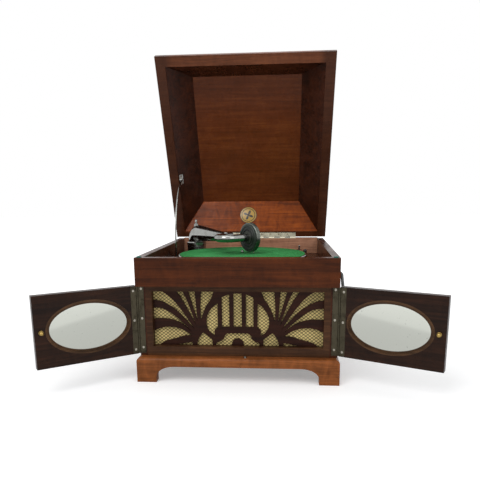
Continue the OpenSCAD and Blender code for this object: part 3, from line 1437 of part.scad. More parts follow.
module door_knob() {
    profile = concat([[0, 0], [4.6, 0], [4.6, 0.8], [2, 1.4], [1.8, knob_neck]],
        arc([0, knob_mid], door_knob_r, -60, 90, 10));
    color("#d2b25a") {
        translate([knob_s, -door_set, door_mid]) rotate([-90, 0, 0]) rotate_extrude() polygon(profile);
        translate([knob_s, -door_out, door_mid]) rotate([90, 0, 0]) rotate_extrude() polygon(profile);
        translate([knob_s, -door_set, door_mid]) rotate([90, 0, 0]) cylinder(r = 1.5, h = door_t);
    }
}

module door_left() { on_left_door() door(); }
module door_right() { on_right_door() door(); }
module door_hinge_left() { on_left_door() door_hinge(); }
module door_hinge_right() { on_right_door() door_hinge(); }
module oval_frame_left() { on_left_door() oval_frame(); }
module oval_frame_right() { on_right_door() oval_frame(); }
module glass_left() { on_left_door() glass(); }
module glass_right() { on_right_door() glass(); }
module door_knob_left() { on_left_door() door_knob(); }
module door_knob_right() { on_right_door() door_knob(); }
module door_screws_left() { color("#c8c4b4") on_left_door() door_leaf_screws() screw(); }
module door_screws_right() { color("#c8c4b4") on_right_door() door_leaf_screws() screw(); }

module case_screws() {
    color("#c8c4b4") {
        sides() door_case_screws() screw();
        lid_case_screws() screw();
        plate_screws() screw();
        arm_base_screws() screw(arm_screw_l);
        crank_screws() screw();
        motor_bolts() {
            translate([0, 0, -plate_t - 5]) cylinder(r = bolt_r, h = board_t + plate_t + 5);
            translate([0, 0, board_t]) cylinder(r = 5, h = 2.2);
            difference() {
                translate([0, 0, -plate_t - 4]) cylinder(r = 4.5, h = 4, $fn = 6);
                translate([0, 0, -plate_t - 5]) cylinder(r = bolt_r - 0.5, h = 6);
            }
        }
    }
}

module lid_screws() {
    color("#c8c4b4") on_lid() {
        lid_leaf_screws() screw();
        stay_screws() screw(6);
    }
}

placed() side_panels();
placed() back_panel();
placed() bottom_board();
placed() front_rail();
placed() grille_frame();
placed() motor_board();
placed() board_cleats();
placed() plinth();
placed() bracket_feet();
placed() lid_pads();
placed() catch_stud();
placed() fretwork_grille();
placed() grille_cloth();
placed() horn_mouth();
placed() horn_throat();
placed() motor_frame();
placed() spring_barrel();
placed() winding_arbor();
placed() intermediate_gear();
placed() governor();
placed() crank_shaft();
placed() crank_arm();
placed() crank_grip();
placed() crank_escutcheon();
placed() platter();
placed() turntable_felt();
placed() spindle();
placed() brake_lever();
placed() speed_knob();
placed() board_plates();
placed() arm_base();
placed() tone_arm();
placed() pivot_knob();
placed() gooseneck();
placed() sound_box();
placed() sound_box_back();
placed() diaphragm();
placed() needle_bar();
placed() needle_screw();
placed() needle();
placed() lid_frame();
placed() lid_slopes();
placed() lid_top();
placed() lid_stay();
placed() lid_hinge_leaf();
placed() hinge_case_leaves();
placed() door_left();
placed() door_right();
placed() door_hinge_left();
placed() door_hinge_right();
placed() oval_frame_left();
placed() oval_frame_right();
placed() glass_left();
placed() glass_right();
placed() door_knob_left();
placed() door_knob_right();
placed() case_screws();
placed() lid_screws();
placed() door_screws_left();
placed() door_screws_right();
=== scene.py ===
"""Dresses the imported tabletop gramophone: finishes, cloth, felt, inlay, light and camera."""
import json
import logging
import math
from dataclasses import dataclass
from enum import Enum
from typing import Sequence, Union

import bmesh
import bpy
from mathutils import Matrix, Vector


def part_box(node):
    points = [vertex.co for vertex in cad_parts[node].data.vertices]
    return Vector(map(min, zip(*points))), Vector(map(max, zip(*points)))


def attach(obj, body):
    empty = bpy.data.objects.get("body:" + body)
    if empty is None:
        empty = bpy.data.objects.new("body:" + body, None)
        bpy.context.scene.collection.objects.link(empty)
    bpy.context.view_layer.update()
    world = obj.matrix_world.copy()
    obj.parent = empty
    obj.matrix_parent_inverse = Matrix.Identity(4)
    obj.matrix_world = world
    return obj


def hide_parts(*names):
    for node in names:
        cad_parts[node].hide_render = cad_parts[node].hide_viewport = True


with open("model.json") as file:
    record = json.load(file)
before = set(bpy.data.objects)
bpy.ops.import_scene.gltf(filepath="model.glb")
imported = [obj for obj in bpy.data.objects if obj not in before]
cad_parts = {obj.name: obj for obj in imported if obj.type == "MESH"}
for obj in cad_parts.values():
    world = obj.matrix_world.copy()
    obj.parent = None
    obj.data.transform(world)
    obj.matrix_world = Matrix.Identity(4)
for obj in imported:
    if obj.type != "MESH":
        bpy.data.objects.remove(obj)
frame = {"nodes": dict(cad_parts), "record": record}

logging.basicConfig(level=logging.INFO, format="%(message)s")
LOG = logging.getLogger("gramophone")

Triple = tuple[float, float, float]
Colour = tuple[float, float, float]
Tones = tuple[Colour, Colour, Colour]
Number = Union[int, float]
Value = Union["Sock", int, float]

NOISE_MIDDLE = 0.5  # the value that a noise swings about
PATCHY = (0.45, 0.75)  # the span of a noise over which dust, haze or age comes in
SAME_POINT = 1e-6  # metres within which two corners are merged


def srgb(code: str) -> Colour:
    """Turns a hex colour into linear light.

    Args:
        code: Six hex digits, such as "6b2f18".

    Returns:
        The linear red, green and blue.
    """
    def linear(v: float) -> float:
        """One channel in linear light, by the sRGB curve."""
        return v / 12.92 if v <= 0.04045 else ((v + 0.055) / 1.055) ** 2.4
    return tuple(linear(int(code[i:i + 2], 16) / 255) for i in (0, 2, 4))


def tones(codes: str) -> Tones:
    """Dark, middle and light tones from three hex colours in one string."""
    return tuple(srgb(code) for code in codes.split())


def shade(colour: Colour, factor: float) -> Colour:
    """A colour times a factor, at most 1 in each channel."""
    return tuple(min(1.0, c * factor) for c in colour)


class Sock:
    """An output socket in a node tree that Python's operators work on."""

    def __init__(self, graph: "Graph", socket: bpy.types.NodeSocket) -> None:
        """Wraps a socket of a graph."""
        self.graph = graph
        self.socket = socket

    def _math(self, operation: str, *values: Value) -> "Sock":
        """Adds a Math node.

        Args:
            operation: The Math node's operation.
            values: Its inputs, in order.

        Returns:
            The node's output.
        """
        return self.graph.node("ShaderNodeMath", dict(operation=operation), dict(enumerate(values)))

    def __add__(self, other: Value) -> "Sock":
        """Sum."""
        return self._math("ADD", self, other)

    def __radd__(self, other: Number) -> "Sock":
        """Sum with the number first."""
        return self._math("ADD", other, self)

    def __sub__(self, other: Value) -> "Sock":
        """Difference."""
        return self._math("SUBTRACT", self, other)

    def __rsub__(self, other: Number) -> "Sock":
        """Difference with the number first."""
        return self._math("SUBTRACT", other, self)

    def __mul__(self, other: Value) -> "Sock":
        """Product."""
        return self._math("MULTIPLY", self, other)

    def __rmul__(self, other: Number) -> "Sock":
        """Product with the number first."""
        return self._math("MULTIPLY", other, self)

    def __truediv__(self, other: Value) -> "Sock":
        """Quotient."""
        return self._math("DIVIDE", self, other)

    def __rtruediv__(self, other: Number) -> "Sock":
        """Quotient with the number first."""
        return self._math("DIVIDE", other, self)

    def __pow__(self, other: Value) -> "Sock":
        """Power."""
        return self._math("POWER", self, other)

    def __rpow__(self, other: Number) -> "Sock":
        """Power of a number."""
        return self._math("POWER", other, self)

    def __neg__(self) -> "Sock":
        """Negative."""
        return self._math("MULTIPLY", self, -1)

    def __abs__(self) -> "Sock":
        """Absolute value."""
        return self._math("ABSOLUTE", self)

    def sine(self) -> "Sock":
        """Sine of the value in radians."""
        return self._math("SINE", self)

    def angle(self, other: "Sock") -> "Sock":
        """The angle whose tangent is this value over the other, in radians."""
        return self._math("ARCTAN2", self, other)

    def low(self, other: Value) -> "Sock":
        """The smaller of two values."""
        return self._math("MINIMUM", self, other)

    def high(self, other: Value) -> "Sock":
        """The larger of two values."""
        return self._math("MAXIMUM", self, other)

    def swing(self, share: Number) -> "Sock":
        """A noise's swing about its middle, times a share."""
        return (self - NOISE_MIDDLE) * share

    def step(self, start: Number, end: Number) -> "Sock":
        """Goes from 0 at start to 1 at end, easing in and out.

        Args:
            start: The value where the step is 0.
            end: The value where it is 1.

        Returns:
            The stepped value.
        """
        return self.graph.node("ShaderNodeMapRange", dict(interpolation_type="SMOOTHSTEP", clamp=True),
                               {"Value": self, "From Min": start, "From Max": end, "To Min": 0, "To Max": 1})


class Graph:
    """A material's node tree with one method that makes any node."""

    def __init__(self, name: str, world: bool = False) -> None:
        """Makes an empty material, or an empty world.

        Args:
            name: The material's name.
            world: Whether it is a world instead.
        """
        self.material = bpy.data.worlds.new(name) if world else bpy.data.materials.new(name)
        self.material.use_nodes = True
        self.tree = self.material.node_tree
        self.tree.nodes.clear()

    def node(self, kind: str, settings: dict | None = None, inputs: dict | None = None,
             output: Union[str, int] = 0) -> Sock:
        """Makes a node, sets it up and links it.

        Args:
            kind: The node's type.
            settings: Its properties; "ramp" gives a colour ramp's stops.
            inputs: Values or sockets by input name or number.
            output: The output to return, by name or number.

        Returns:
            The chosen output.
        """
        made = self.tree.nodes.new(kind)
        for key, value in (settings or {}).items():
            if key == "ramp":
                stops = made.color_ramp.elements
                while len(stops) < len(value):
                    stops.new(0.5)
                for stop, (position, colour) in zip(stops, value):
                    stop.position = position
                    stop.color = (*colour, 1)
            else:
                setattr(made, key, value)
        for key, value in (inputs or {}).items():
            target = made.inputs[key]
            if isinstance(value, Sock):
                self.tree.links.new(value.socket, target)
            elif isinstance(value, tuple) and len(value) == 3 and target.type == "RGBA":
                target.default_value = (*value, 1)
            else:
                target.default_value = value
        return Sock(self, made.outputs[output])

    def point(self, turn: Sequence[float] = (0, 0, 0)) -> Sock:
        """The point on the piece, turned about each axis by so many degrees."""
        return self.node("ShaderNodeMapping", None,
                         {"Vector": self.node("ShaderNodeTexCoord", output="Object"),
                          "Rotation": tuple(math.radians(a) for a in turn)})

    def mapped(self, vector: Sock, scale: Sequence[float], move: Sequence[float] = (0, 0, 0)) -> Sock:
        """A point scaled, then moved."""
        return self.node("ShaderNodeMapping", None,
                         {"Vector": vector, "Scale": tuple(scale), "Location": tuple(move)})

    def about(self, centre: Sequence[float]) -> Sock:
        """The point on the piece, measured from a centre."""
        return self.mapped(self.point(), (1, 1, 1), tuple(-c for c in centre))

    def axis(self, vector: Sock, name: str) -> Sock:
        """One coordinate of a point."""
        return self.node("ShaderNodeSeparateXYZ", None, {"Vector": vector}, name)

    def dot(self, vector: Sock, way: Triple) -> Sock:
        """How far a point lies along a direction."""
        return self.node("ShaderNodeVectorMath", dict(operation="DOT_PRODUCT"), {0: vector, 1: way}, "Value")

    def length(self, vector: Sock) -> Sock:
        """How far a point lies from the origin."""
        return self.node("ShaderNodeVectorMath", dict(operation="LENGTH"), {0: vector}, "Value")

    def mix(self, share: Value, a: Union[Sock, Colour], b: Union[Sock, Colour]) -> Sock:
        """Mixes two colours.

        Args:
            share: How much of b, from 0 to 1.
            a: The first colour.
            b: The second colour.

        Returns:
            The mixed colour.
        """
        share_input, a_input, b_input, colour_output = 0, 6, 7, 2
        return self.node("ShaderNodeMix", dict(data_type="RGBA", blend_type="MIX", clamp_factor=True),
                         {share_input: share, a_input: a, b_input: b}, colour_output)

    def ramp(self, value: Sock, *stops: tuple[float, Colour]) -> Sock:
        """A colour ramp over a value."""
        return self.node("ShaderNodeValToRGB", dict(ramp=stops), {"Fac": value}, "Color")

    def bump(self, height: Sock, strength: float, distance: float) -> Sock:
        """A bump from a height.

        Args:
            height: The height value.
            strength: The bump's strength.
            distance: The height of value 1 in metres.

        Returns:
            The bumped normal.
        """
        return self.node("ShaderNodeBump", None, {"Height": height, "Strength": strength, "Distance": distance})

    def rays(self) -> tuple[Sock, Sock]:
        """Tells the rays apart.

        Returns:
            1 for the camera's rays, and 1 for rays of the camera, of reflections and of transmission.
        """
        camera, glossy, through = (self.node("ShaderNodeLightPath", output=name) for name in
                                   ("Is Camera Ray", "Is Glossy Ray", "Is Transmission Ray"))
        return camera, camera.high(glossy).high(through)

    def finish(self, **sockets: Union[Sock, Number, Colour]) -> bpy.types.Material:
        """Adds the shader and the output.

        Args:
            sockets: The shader's inputs, with underscores for spaces.

        Returns:
            The finished material.
        """
        inputs = {key.replace("_", " "): value for key, value in sockets.items()}
        self.end(self.node("ShaderNodeBsdfPrincipled", None, inputs))
        return self.material

    def end(self, shader: Sock, kind: str = "ShaderNodeOutputMaterial") -> None:
        """Links a shader to the material's output, or to the world's."""
        made = self.tree.nodes.new(kind)
        self.tree.links.new(shader.socket, made.inputs["Surface"])


@dataclass(frozen=True)
class Noise:
    """A noise by its size per metre, octaves, roughness and distortion, stretched along the axes.

    share is how much the noise moves the tone of a finish that adds several.
    """

    size: float
    detail: float = 3
    rough: float = 0.5
    bend: float = 0.0
    stretch: Triple = (1, 1, 1)
    share: float = 1.0

    def read(self, g: Graph, at: Sock, move: Triple = (0, 0, 0)) -> Sock:
        """Reads the noise.

        Args:
            g: The material's graph.
            at: Where it is read.
            move: A shift that gives another cut of the same noise.

        Returns:
            The value, from about 0.3 to 0.7.
        """
        if (self.stretch, move) != ((1, 1, 1), (0, 0, 0)):
            at = g.mapped(at, self.stretch, move)
        return g.node("ShaderNodeTexNoise", None, {"Vector": at, "Scale": self.size, "Detail": self.detail,
                                                   "Roughness": self.rough, "Distortion": self.bend}, "Fac")


class Along(Enum):
    """The direction of a board's grain, as the turn in degrees that brings it to X."""

    X = (0.0, 0.0, 0.0)
    Y = (0.0, 0.0, -90.0)
    LID = (65.3, 0.0, 0.0)
    LEFT_DOOR = (0.0, 0.0, 144.5)
    RIGHT_DOOR = (0.0, 0.0, -153.2)


class Finish:
    """A finish whose material is built once, however many pieces wear it."""

    made: dict[str, bpy.types.Material] = {}

    def build(self) -> bpy.types.Material:
        """Builds the material; each kind of finish has its own way."""
        raise NotImplementedError

    def material(self) -> bpy.types.Material:
        """The finish's material, built at the first call."""
        if self.name not in Finish.made:
            Finish.made[self.name] = self.build()
        return Finish.made[self.name]


@dataclass(frozen=True)
class PaintedLightFace:
    """A plane of a piece in its own paler tones: painted light that stands in for the light falling on that side.

    at is its distance along the normal in metres; over the edge's two distances from it the tones fade.
    """

    normal: Triple
    at: float
    tones: Tones
    edge: tuple[float, float] = (0.0008, 0.0014)


@dataclass(frozen=True)
class Ends:
    """How a piece darkens towards both of its ends in X, from start to end metres off its middle."""

    middle: float
    start: float
    end: float
    share: float = 0.75
    tone: float = 0.55


@dataclass(frozen=True)
class Wood(Finish):
    """Polished mahogany veneer with grain, pores, figure and worn polish."""

    name: str
    tones: Tones
    along: Along = Along.X
    figure: float = 0.3
    pore: float = 0.4
    rough: float = 0.3
    coat: float = 0.06
    seed: float = 0.0
    # a face in paler tones of painted light, lighter where light falls on it
    face: PaintedLightFace | None = None
    ends: Ends | None = None
    dirt: float = 0.25
    stops: Triple = (0.14, 0.5, 0.86)
    pore_edge: tuple[float, float] = (0.6, 0.72)
    soil_edge: tuple[float, float] = (0.5, 0.78)
    streaks: Noise = Noise(3.0, 5, 0.62, 1.2, (1.6, 34, 34), share=1.5)
    wander: Noise = Noise(2.2, 3, 0.55, 0.6, (2.5, 9, 9), share=0.9)
    curl: Noise = Noise(4.0, 3, 0.55, 1.8, (9, 4, 4), share=2.0)
    fibres: Noise = Noise(3.0, 3, 0.6, 0.2, (7, 230, 230), share=0.35)
    pores: Noise = Noise(1.7, 2, 0.5, 0.0, (26, 620, 620))
    soil: Noise = Noise(9.0, 4, 0.6)
    rub: Noise = Noise(38.0, 4, 0.65)

    def veneer(self, g: Graph, tone: Sock) -> Sock:
        """Colours the veneer.

        Args:
            g: The material's graph.
            tone: The grain's tone, from 0 for dark to 1 for light.

        Returns:
            The colour, with the painted light on the piece's other face and its dark ends.
        """
        colour = g.ramp(tone, *zip(self.stops, self.tones))
        # painted light: the face's paler tones stand in for the light falling on it
        if self.face:
            on_painted_light_face = 1 - abs(g.dot(g.point(), self.face.normal) - self.face.at).step(*self.face.edge)
            colour = g.mix(on_painted_light_face, colour, g.ramp(tone, *zip(self.stops, self.face.tones)))
        if self.ends:
            aside = abs(g.axis(g.point(), "X") - self.ends.middle).step(self.ends.start, self.ends.end)
            colour = g.mix(aside * self.ends.share, colour, shade(self.tones[0], self.ends.tone))
        return colour

    def build(self) -> bpy.types.Material:
        """Builds the wood.

        Returns:
            The finished material.
        """
        g = Graph(self.name)
        at, grain, dark = g.point(), g.point(self.along.value), self.tones[0]
        streaks = self.streaks.read(g, grain, (0, self.seed, 0))
        wander = self.wander.read(g, grain, (self.seed, 0, 0))
        curl = self.curl.read(g, grain, (0, 0, self.seed))
        fibres = self.fibres.read(g, grain)
        pores = self.pores.read(g, grain).step(*self.pore_edge)
        soil = self.soil.read(g, at).step(*self.soil_edge)
        rub = self.rub.read(g, at)
        tone = (streaks.swing(self.streaks.share) + wander.swing(self.wander.share)
                + curl.swing(self.curl.share * self.figure) + fibres.swing(self.fibres.share) + NOISE_MIDDLE)
        colour = g.mix(pores * self.pore, self.veneer(g, tone), shade(dark, 0.35))
        colour = g.mix(soil * self.dirt, colour, shade(dark, 0.45))
        height = fibres * 0.5 + (1 - pores) * 0.7 + rub * 0.3
        return g.finish(Base_Color=colour, Roughness=rub.swing(0.35) + soil * 0.14 + pores * 0.15 + self.rough,
                        Coat_Weight=self.coat, Coat_Roughness=0.16, Specular_IOR_Level=0.1,
                        Normal=g.bump(height, strength=0.35, distance=0.0004))


@dataclass(frozen=True)
class PlainWood(Finish):
    """Unpolished carcass wood with coarse open grain."""

    name: str
    colour: Colour
    along: Along = Along.Y
    streaks: Noise = Noise(3.0, 5, 0.6, 0.8, (2, 46, 46), share=1.6)
    fibres: Noise = Noise(2.2, 2, 0.5, 0.0, (12, 400, 400), share=0.5)
    stain: Noise = Noise(7.0, 4, 0.6)
    stain_edge: tuple[float, float] = (0.5, 0.75)
    rough: float = 0.72

    def build(self) -> bpy.types.Material:
        """Builds the wood."""
        g = Graph(self.name)
        grain = g.point(self.along.value)
        streaks, fibres = self.streaks.read(g, grain), self.fibres.read(g, grain)
        stain = self.stain.read(g, g.point()).step(*self.stain_edge)
        tone = streaks.swing(self.streaks.share) + fibres.swing(self.fibres.share) + NOISE_MIDDLE
        colour = g.ramp(tone, (0.1, shade(self.colour, 0.5)), (0.5, self.colour), (0.9, shade(self.colour, 1.35)))
        colour = g.mix(stain * 0.35, colour, shade(self.colour, 0.3))
        return g.finish(Base_Color=colour, Roughness=fibres.swing(0.3) + self.rough, Specular_IOR_Level=0.3,
                        Normal=g.bump(streaks * 0.6 + fibres * 0.4, strength=0.5, distance=0.0006))


@dataclass(frozen=True)
class Metal(Finish):
    """A plated or machined metal with tarnish in patches and fine scratches.

    Where rear is given, the metal has that colour and less tarnish behind rear_from in Y.
    """

    name: str
    colour: Colour
    tarnish: Colour
    share: float = 0.4
    rough: float = 0.16
    rear: Colour | None = None
    rear_from: float = 0.2
    rear_edge: float = 0.001
    rear_clean: float = 0.6
    scratch: float = 0.12
    worn_rough: float = 0.3
    least_rough: float = 0.04
    patches: Noise = Noise(60.0, 5, 0.65, 0.4, share=0.75)
    patch_edge: tuple[float, float] = (0.44, 0.7)
    spots: Noise = Noise(360.0, 3, 0.6, share=0.5)
    spot_edge: tuple[float, float] = (0.56, 0.72)
    scratches: Noise = Noise(1.0, 2, 0.5, 0.0, (900, 140, 1400))

    def build(self) -> bpy.types.Material:
        """Builds the metal.

        Returns:
            The finished material.
        """
        g = Graph(self.name)
        at = g.point()
        patches, spots, scratches = (noise.read(g, at) for noise in (self.patches, self.spots, self.scratches))
        worn = (patches.step(*self.patch_edge) * self.patches.share
                + spots.step(*self.spot_edge) * self.spots.share).low(1.0)
        base = self.colour
        if self.rear:
            behind = g.axis(at, "Y").step(self.rear_from - self.rear_edge, self.rear_from + self.rear_edge)
            base = g.mix(behind, self.colour, self.rear)
            worn = worn * (1 - behind * self.rear_clean)
        rough = worn * self.worn_rough * (0.4 + self.share) + scratches.swing(self.scratch) + self.rough
        return g.finish(Base_Color=g.mix(worn * self.share, base, self.tarnish), Metallic=1.0,
                        Roughness=rough.high(self.least_rough),
                        Normal=g.bump(scratches * 0.5 + patches * 0.6, strength=0.12, distance=0.0002))


@dataclass(frozen=True)
class Paint(Finish):
    """Enamel, rubber or turned plastic: one colour with dust, scuffs and a fine skin."""

    name: str
    colour: Colour
    dust: Colour
    rough: float = 0.4
    grain: float = 900.0
    bump: float = 0.15
    coat: float = 0.0
    haze: Noise = Noise(70.0, 4, 0.65)
    scuff_edge: tuple[float, float] = (0.55, 0.75)

    def build(self) -> bpy.types.Material:
        """Builds the paint."""
        g = Graph(self.name)
        at = g.point()
        skin, haze = Noise(self.grain, 3, 0.6).read(g, at), self.haze.read(g, at)
        dusty = haze.step(*PATCHY) * 0.4 + skin.step(*self.scuff_edge) * 0.2
        return g.finish(Base_Color=g.mix(dusty, self.colour, self.dust), Roughness=haze.swing(0.4) + self.rough,
                        Coat_Weight=self.coat, Coat_Roughness=0.12,
                        Normal=g.bump(skin, strength=self.bump, distance=0.0003))


@dataclass(frozen=True)
class Mirror(Finish):
    """Silvered glass with faint spots where the silvering has aged."""

    name: str
    tint: Colour
    aged: Colour
    spots: Noise = Noise(210.0, 4, 0.7)
    spot_edge: tuple[float, float] = (0.64, 0.76)
    haze: Noise = Noise(14.0, 3, 0.5)
    rough: float = 0.02

    def build(self) -> bpy.types.Material:
        """Builds the mirror."""
        g = Graph(self.name)
        at = g.point()
        spots = self.spots.read(g, at).step(*self.spot_edge)
        return g.finish(Base_Color=g.mix(spots * 0.5, self.tint, self.aged), Metallic=1.0 - spots * 0.4,
                        Roughness=self.haze.read(g, at) * 0.05 + spots * 0.2 + self.rough)


@dataclass(frozen=True)
class Felt(Finish):
    """Napped felt, worn in a ring about its centre where records lay."""

    name: str
    colour: Colour
    light: Colour
    centre: tuple[float, float] = (0.0, 0.0)
    worn_from: tuple[float, float] = (0.035, 0.055)
    worn_to: tuple[float, float] = (0.12, 0.145)
    fibre: Noise = Noise(1500.0, 4, 0.7, 0.5, share=0.9)
    tuft: Noise = Noise(240.0, 4, 0.65, share=0.8)
    patch: Noise = Noise(16.0, 3, 0.6, share=0.7)
    worn_share: float = 0.12
    middle: float = 0.45

    def build(self) -> bpy.types.Material:
        """Builds the felt.

        Returns:
            The finished material.
        """
        g = Graph(self.name)
        at, inward = g.point(), g.about((*self.centre, 0.0))
        radius = (g.axis(inward, "X") ** 2 + g.axis(inward, "Y") ** 2) ** 0.5
        worn = radius.step(*self.worn_from) * (1 - radius.step(*self.worn_to))
        fibre, tuft, patch = (noise.read(g, at) for noise in (self.fibre, self.tuft, self.patch))
        tone = (fibre.swing(self.fibre.share) + tuft.swing(self.tuft.share) + patch.swing(self.patch.share)
                + worn * self.worn_share + self.middle)
        colour = g.ramp(tone, (0.1, shade(self.colour, 0.55)), (0.5, self.colour), (0.95, self.light))
        return g.finish(Base_Color=colour, Roughness=0.95, Sheen_Weight=0.05, Sheen_Roughness=0.4,
                        Specular_IOR_Level=0.05,
                        Normal=g.bump(fibre * 0.7 + tuft * 0.5, strength=0.7, distance=0.0008))


@dataclass(frozen=True)
class TurnedRings(Finish):
    """A turned disc whose rings differ in colour, each from its own radius outwards."""

    name: str
    centre: Triple
    axis: Triple
    rings: tuple[tuple[float, Colour], ...]
    dust: Colour
    rough: float = 0.4
    edge: float = 0.0003
    haze: Noise = Noise(90.0, 4, 0.65)
    skin: Noise = Noise(900.0, 3, 0.6)

    def build(self) -> bpy.types.Material:
        """Builds the disc's finish.

        Returns:
            The finished material.
        """
        g = Graph(self.name)
        at, inward = g.point(), g.about(self.centre)
        radius = (g.length(inward) ** 2 - g.dot(inward, self.axis) ** 2).high(0) ** 0.5
        colour = self.rings[0][1]
        for start, tone in self.rings[1:]:
            colour = g.mix(radius.step(start - self.edge, start + self.edge), colour, tone)
        haze = self.haze.read(g, at)
        colour = g.mix(haze.step(*PATCHY) * 0.35, colour, self.dust)
        return g.finish(Base_Color=colour, Roughness=haze.swing(0.4) + self.rough, Specular_IOR_Level=0.3,
                        Normal=g.bump(self.skin.read(g, at), strength=0.15, distance=0.0003))


@dataclass(frozen=True)
class GrilleCloth(Finish):
    """Gold cloth with brown threads woven in small diamonds."""

    name: str
    gold: Colour
    brown: Colour
    pitch: float = 0.0071
    slant: float = 0.8
    diamond_edge: tuple[float, float] = (0.12, 0.55)
    diamond_share: float = 0.8
    bend: Noise = Noise(90.0, 3, 0.6)
    bend_by: float = 0.003
    thread_turn: float = 5200.0
    fuzz: Noise = Noise(1300.0, 3, 0.6)
    age: Noise = Noise(11.0, 4, 0.6)

    def build(self) -> bpy.types.Material:
        """Builds the cloth.

        Returns:
            The finished material.
        """
        g = Graph(self.name)
        at = g.point()
        bend = self.bend.read(g, at).swing(self.bend_by)
        x, z = g.axis(at, "X") + bend, g.axis(at, "Z") + bend * 0.6
        turn = math.pi / self.pitch
        rise, fall = (abs((line * turn).sine()) for line in (x * self.slant + z, x * self.slant - z))
        diamond = 1 - (rise * fall).step(*self.diamond_edge)
        threads = ((x * self.thread_turn).sine() * 0.5 + 0.5) * ((z * self.thread_turn).sine() * 0.5 + 0.5)
        fuzz = self.fuzz.read(g, at)
        age = self.age.read(g, at).step(*PATCHY)
        colour = g.mix(diamond * self.diamond_share, self.gold, self.brown)
        colour = g.mix((fuzz - 0.35) * 0.9, colour, shade(self.brown, 0.5))
        colour = g.mix(age * 0.3, colour, shade(self.brown, 0.6))
        return g.finish(Base_Color=colour, Roughness=0.85, Sheen_Weight=0.15, Specular_IOR_Level=0.2,
                        Normal=g.bump((1 - diamond) * 0.6 + threads * 0.4 + fuzz * 0.3, strength=0.6,
                                      distance=0.0006))


@dataclass(frozen=True)
class Rosette(Finish):
    """A generic round inlay: dark rings and petals on a pale ground. Radii are shares of its own."""

    name: str
    centre: Triple
    across: Triple
    upward: Triple
    radius: float
    ground: Colour
    line: Colour
    petal: Colour
    worn: Colour
    ring_from: tuple[float, float] = (0.72, 0.75)
    ring_to: tuple[float, float] = (0.8, 0.83)
    rim_from: tuple[float, float] = (0.93, 0.95)
    eye: tuple[float, float] = (0.1, 0.13)
    petals: int = 4
    petal_radius: float = 0.36
    petal_wave: float = 0.24
    petal_edge: float = 0.03
    wear: Noise = Noise(420.0, 4, 0.7)
    wear_edge: tuple[float, float] = (0.52, 0.7)

    def build(self) -> bpy.types.Material:
        """Builds the inlay.

        Returns:
            The finished material.
        """
        g = Graph(self.name)
        inward = g.about(self.centre)
        u, v = (g.dot(inward, way) / self.radius for way in (self.across, self.upward))
        r = (u ** 2 + v ** 2) ** 0.5
        petal = (v.angle(u) * self.petals).sine() * self.petal_wave + self.petal_radius
        inside = 1 - (r - petal).step(-self.petal_edge, self.petal_edge)
        ring = r.step(*self.ring_from) * (1 - r.step(*self.ring_to)) + r.step(*self.rim_from)
        wear = self.wear.read(g, g.point()).step(*self.wear_edge)
        colour = g.mix(ring.low(1.0), self.ground, self.line)
        colour = g.mix(inside, colour, self.petal)
        colour = g.mix(1 - r.step(*self.eye), colour, self.line)
        colour = g.mix(wear * 0.4, colour, self.worn)
        return g.finish(Base_Color=colour, Roughness=wear * 0.2 + 0.35, Coat_Weight=0.25, Coat_Roughness=0.2)


NICKEL = Metal("nickel_plate", srgb("9c9d9a"), srgb("5a5448"), rough=0.12)
SCREW = Metal("screw_steel", srgb("a6a196"), srgb("5e5548"), rough=0.3)
BRONZE = Metal("bronzed_brass", srgb("4a4538"), srgb("201d17"), 0.6, 0.38, srgb("ece5d0"))
BRASS = Metal("door_brass", srgb("a78d52"), srgb("5a4322"), rough=0.22)
GLASS = Mirror("silvered_glass", srgb("bcbeb6"), srgb("4a4a46"))


class Mesh:
    """A bmesh that becomes one finished piece."""

    def __init__(self) -> None:
        """Starts an empty mesh."""
        self.bm = bmesh.new()

    def lathe(self, profile: Sequence[tuple[float, float]], centre: Sequence[float], axis: Sequence[float],
              steps: int) -> None:
        """Spins a profile of (radius, height) pairs about an axis through a centre.

        Args:
            profile: The profile, from the axis outwards and back.
            centre: A point on the axis.
            axis: The axis's direction.
            steps: Steps round the circle.
        """
        way = Vector(axis).normalized()
        side = way.orthogonal().normalized()
        start = [self.bm.verts.new(Vector(centre) + side * r + way * h) for r, h in profile]
        edges = [self.bm.edges.new(pair) for pair in zip(start, start[1:])]
        bmesh.ops.spin(self.bm, geom=start + edges, cent=centre, axis=way, angle=2 * math.pi, steps=steps,
                       use_merge=True, use_duplicate=False)
        bmesh.ops.remove_doubles(self.bm, verts=self.bm.verts, dist=SAME_POINT)

    def done(self, name: str, finish: Finish, body: str, angle: float = 35.0) -> bpy.types.Object:
        """Makes the piece and lets it ride.

        Args:
            name: The piece's name.
            finish: Its finish.
            body: The body that it moves with.
            angle: The angle over which an edge stays sharp, in degrees.

        Returns:
            The piece.
        """
        bmesh.ops.recalc_face_normals(self.bm, faces=self.bm.faces)
        for face in self.bm.faces:
            face.smooth = True
        for edge in self.bm.edges:
            if len(edge.link_faces) == 2 and edge.calc_face_angle() > math.radians(angle):
                edge.smooth = False
        mesh = bpy.data.meshes.new(name)
        self.bm.to_mesh(mesh)
        self.bm.free()
        mesh.materials.append(finish.material())
        piece = bpy.data.objects.new(name, mesh)
        bpy.context.scene.collection.objects.link(piece)
        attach(piece, body)
        LOG.info("piece %s: %d faces", name, len(mesh.polygons))
        return piece


def paint(finish: Finish, *nodes: str) -> None:
    """Gives CAD nodes a finish.

    Args:
        finish: The finish.
        nodes: The nodes' names.
    """
    for name in nodes:
        slots = frame["nodes"][name].data.materials
        if not slots:
            slots.append(finish.material())
        for index in range(len(slots)):
            slots[index] = finish.material()
        LOG.info("finish %s: %s", name, finish.name)


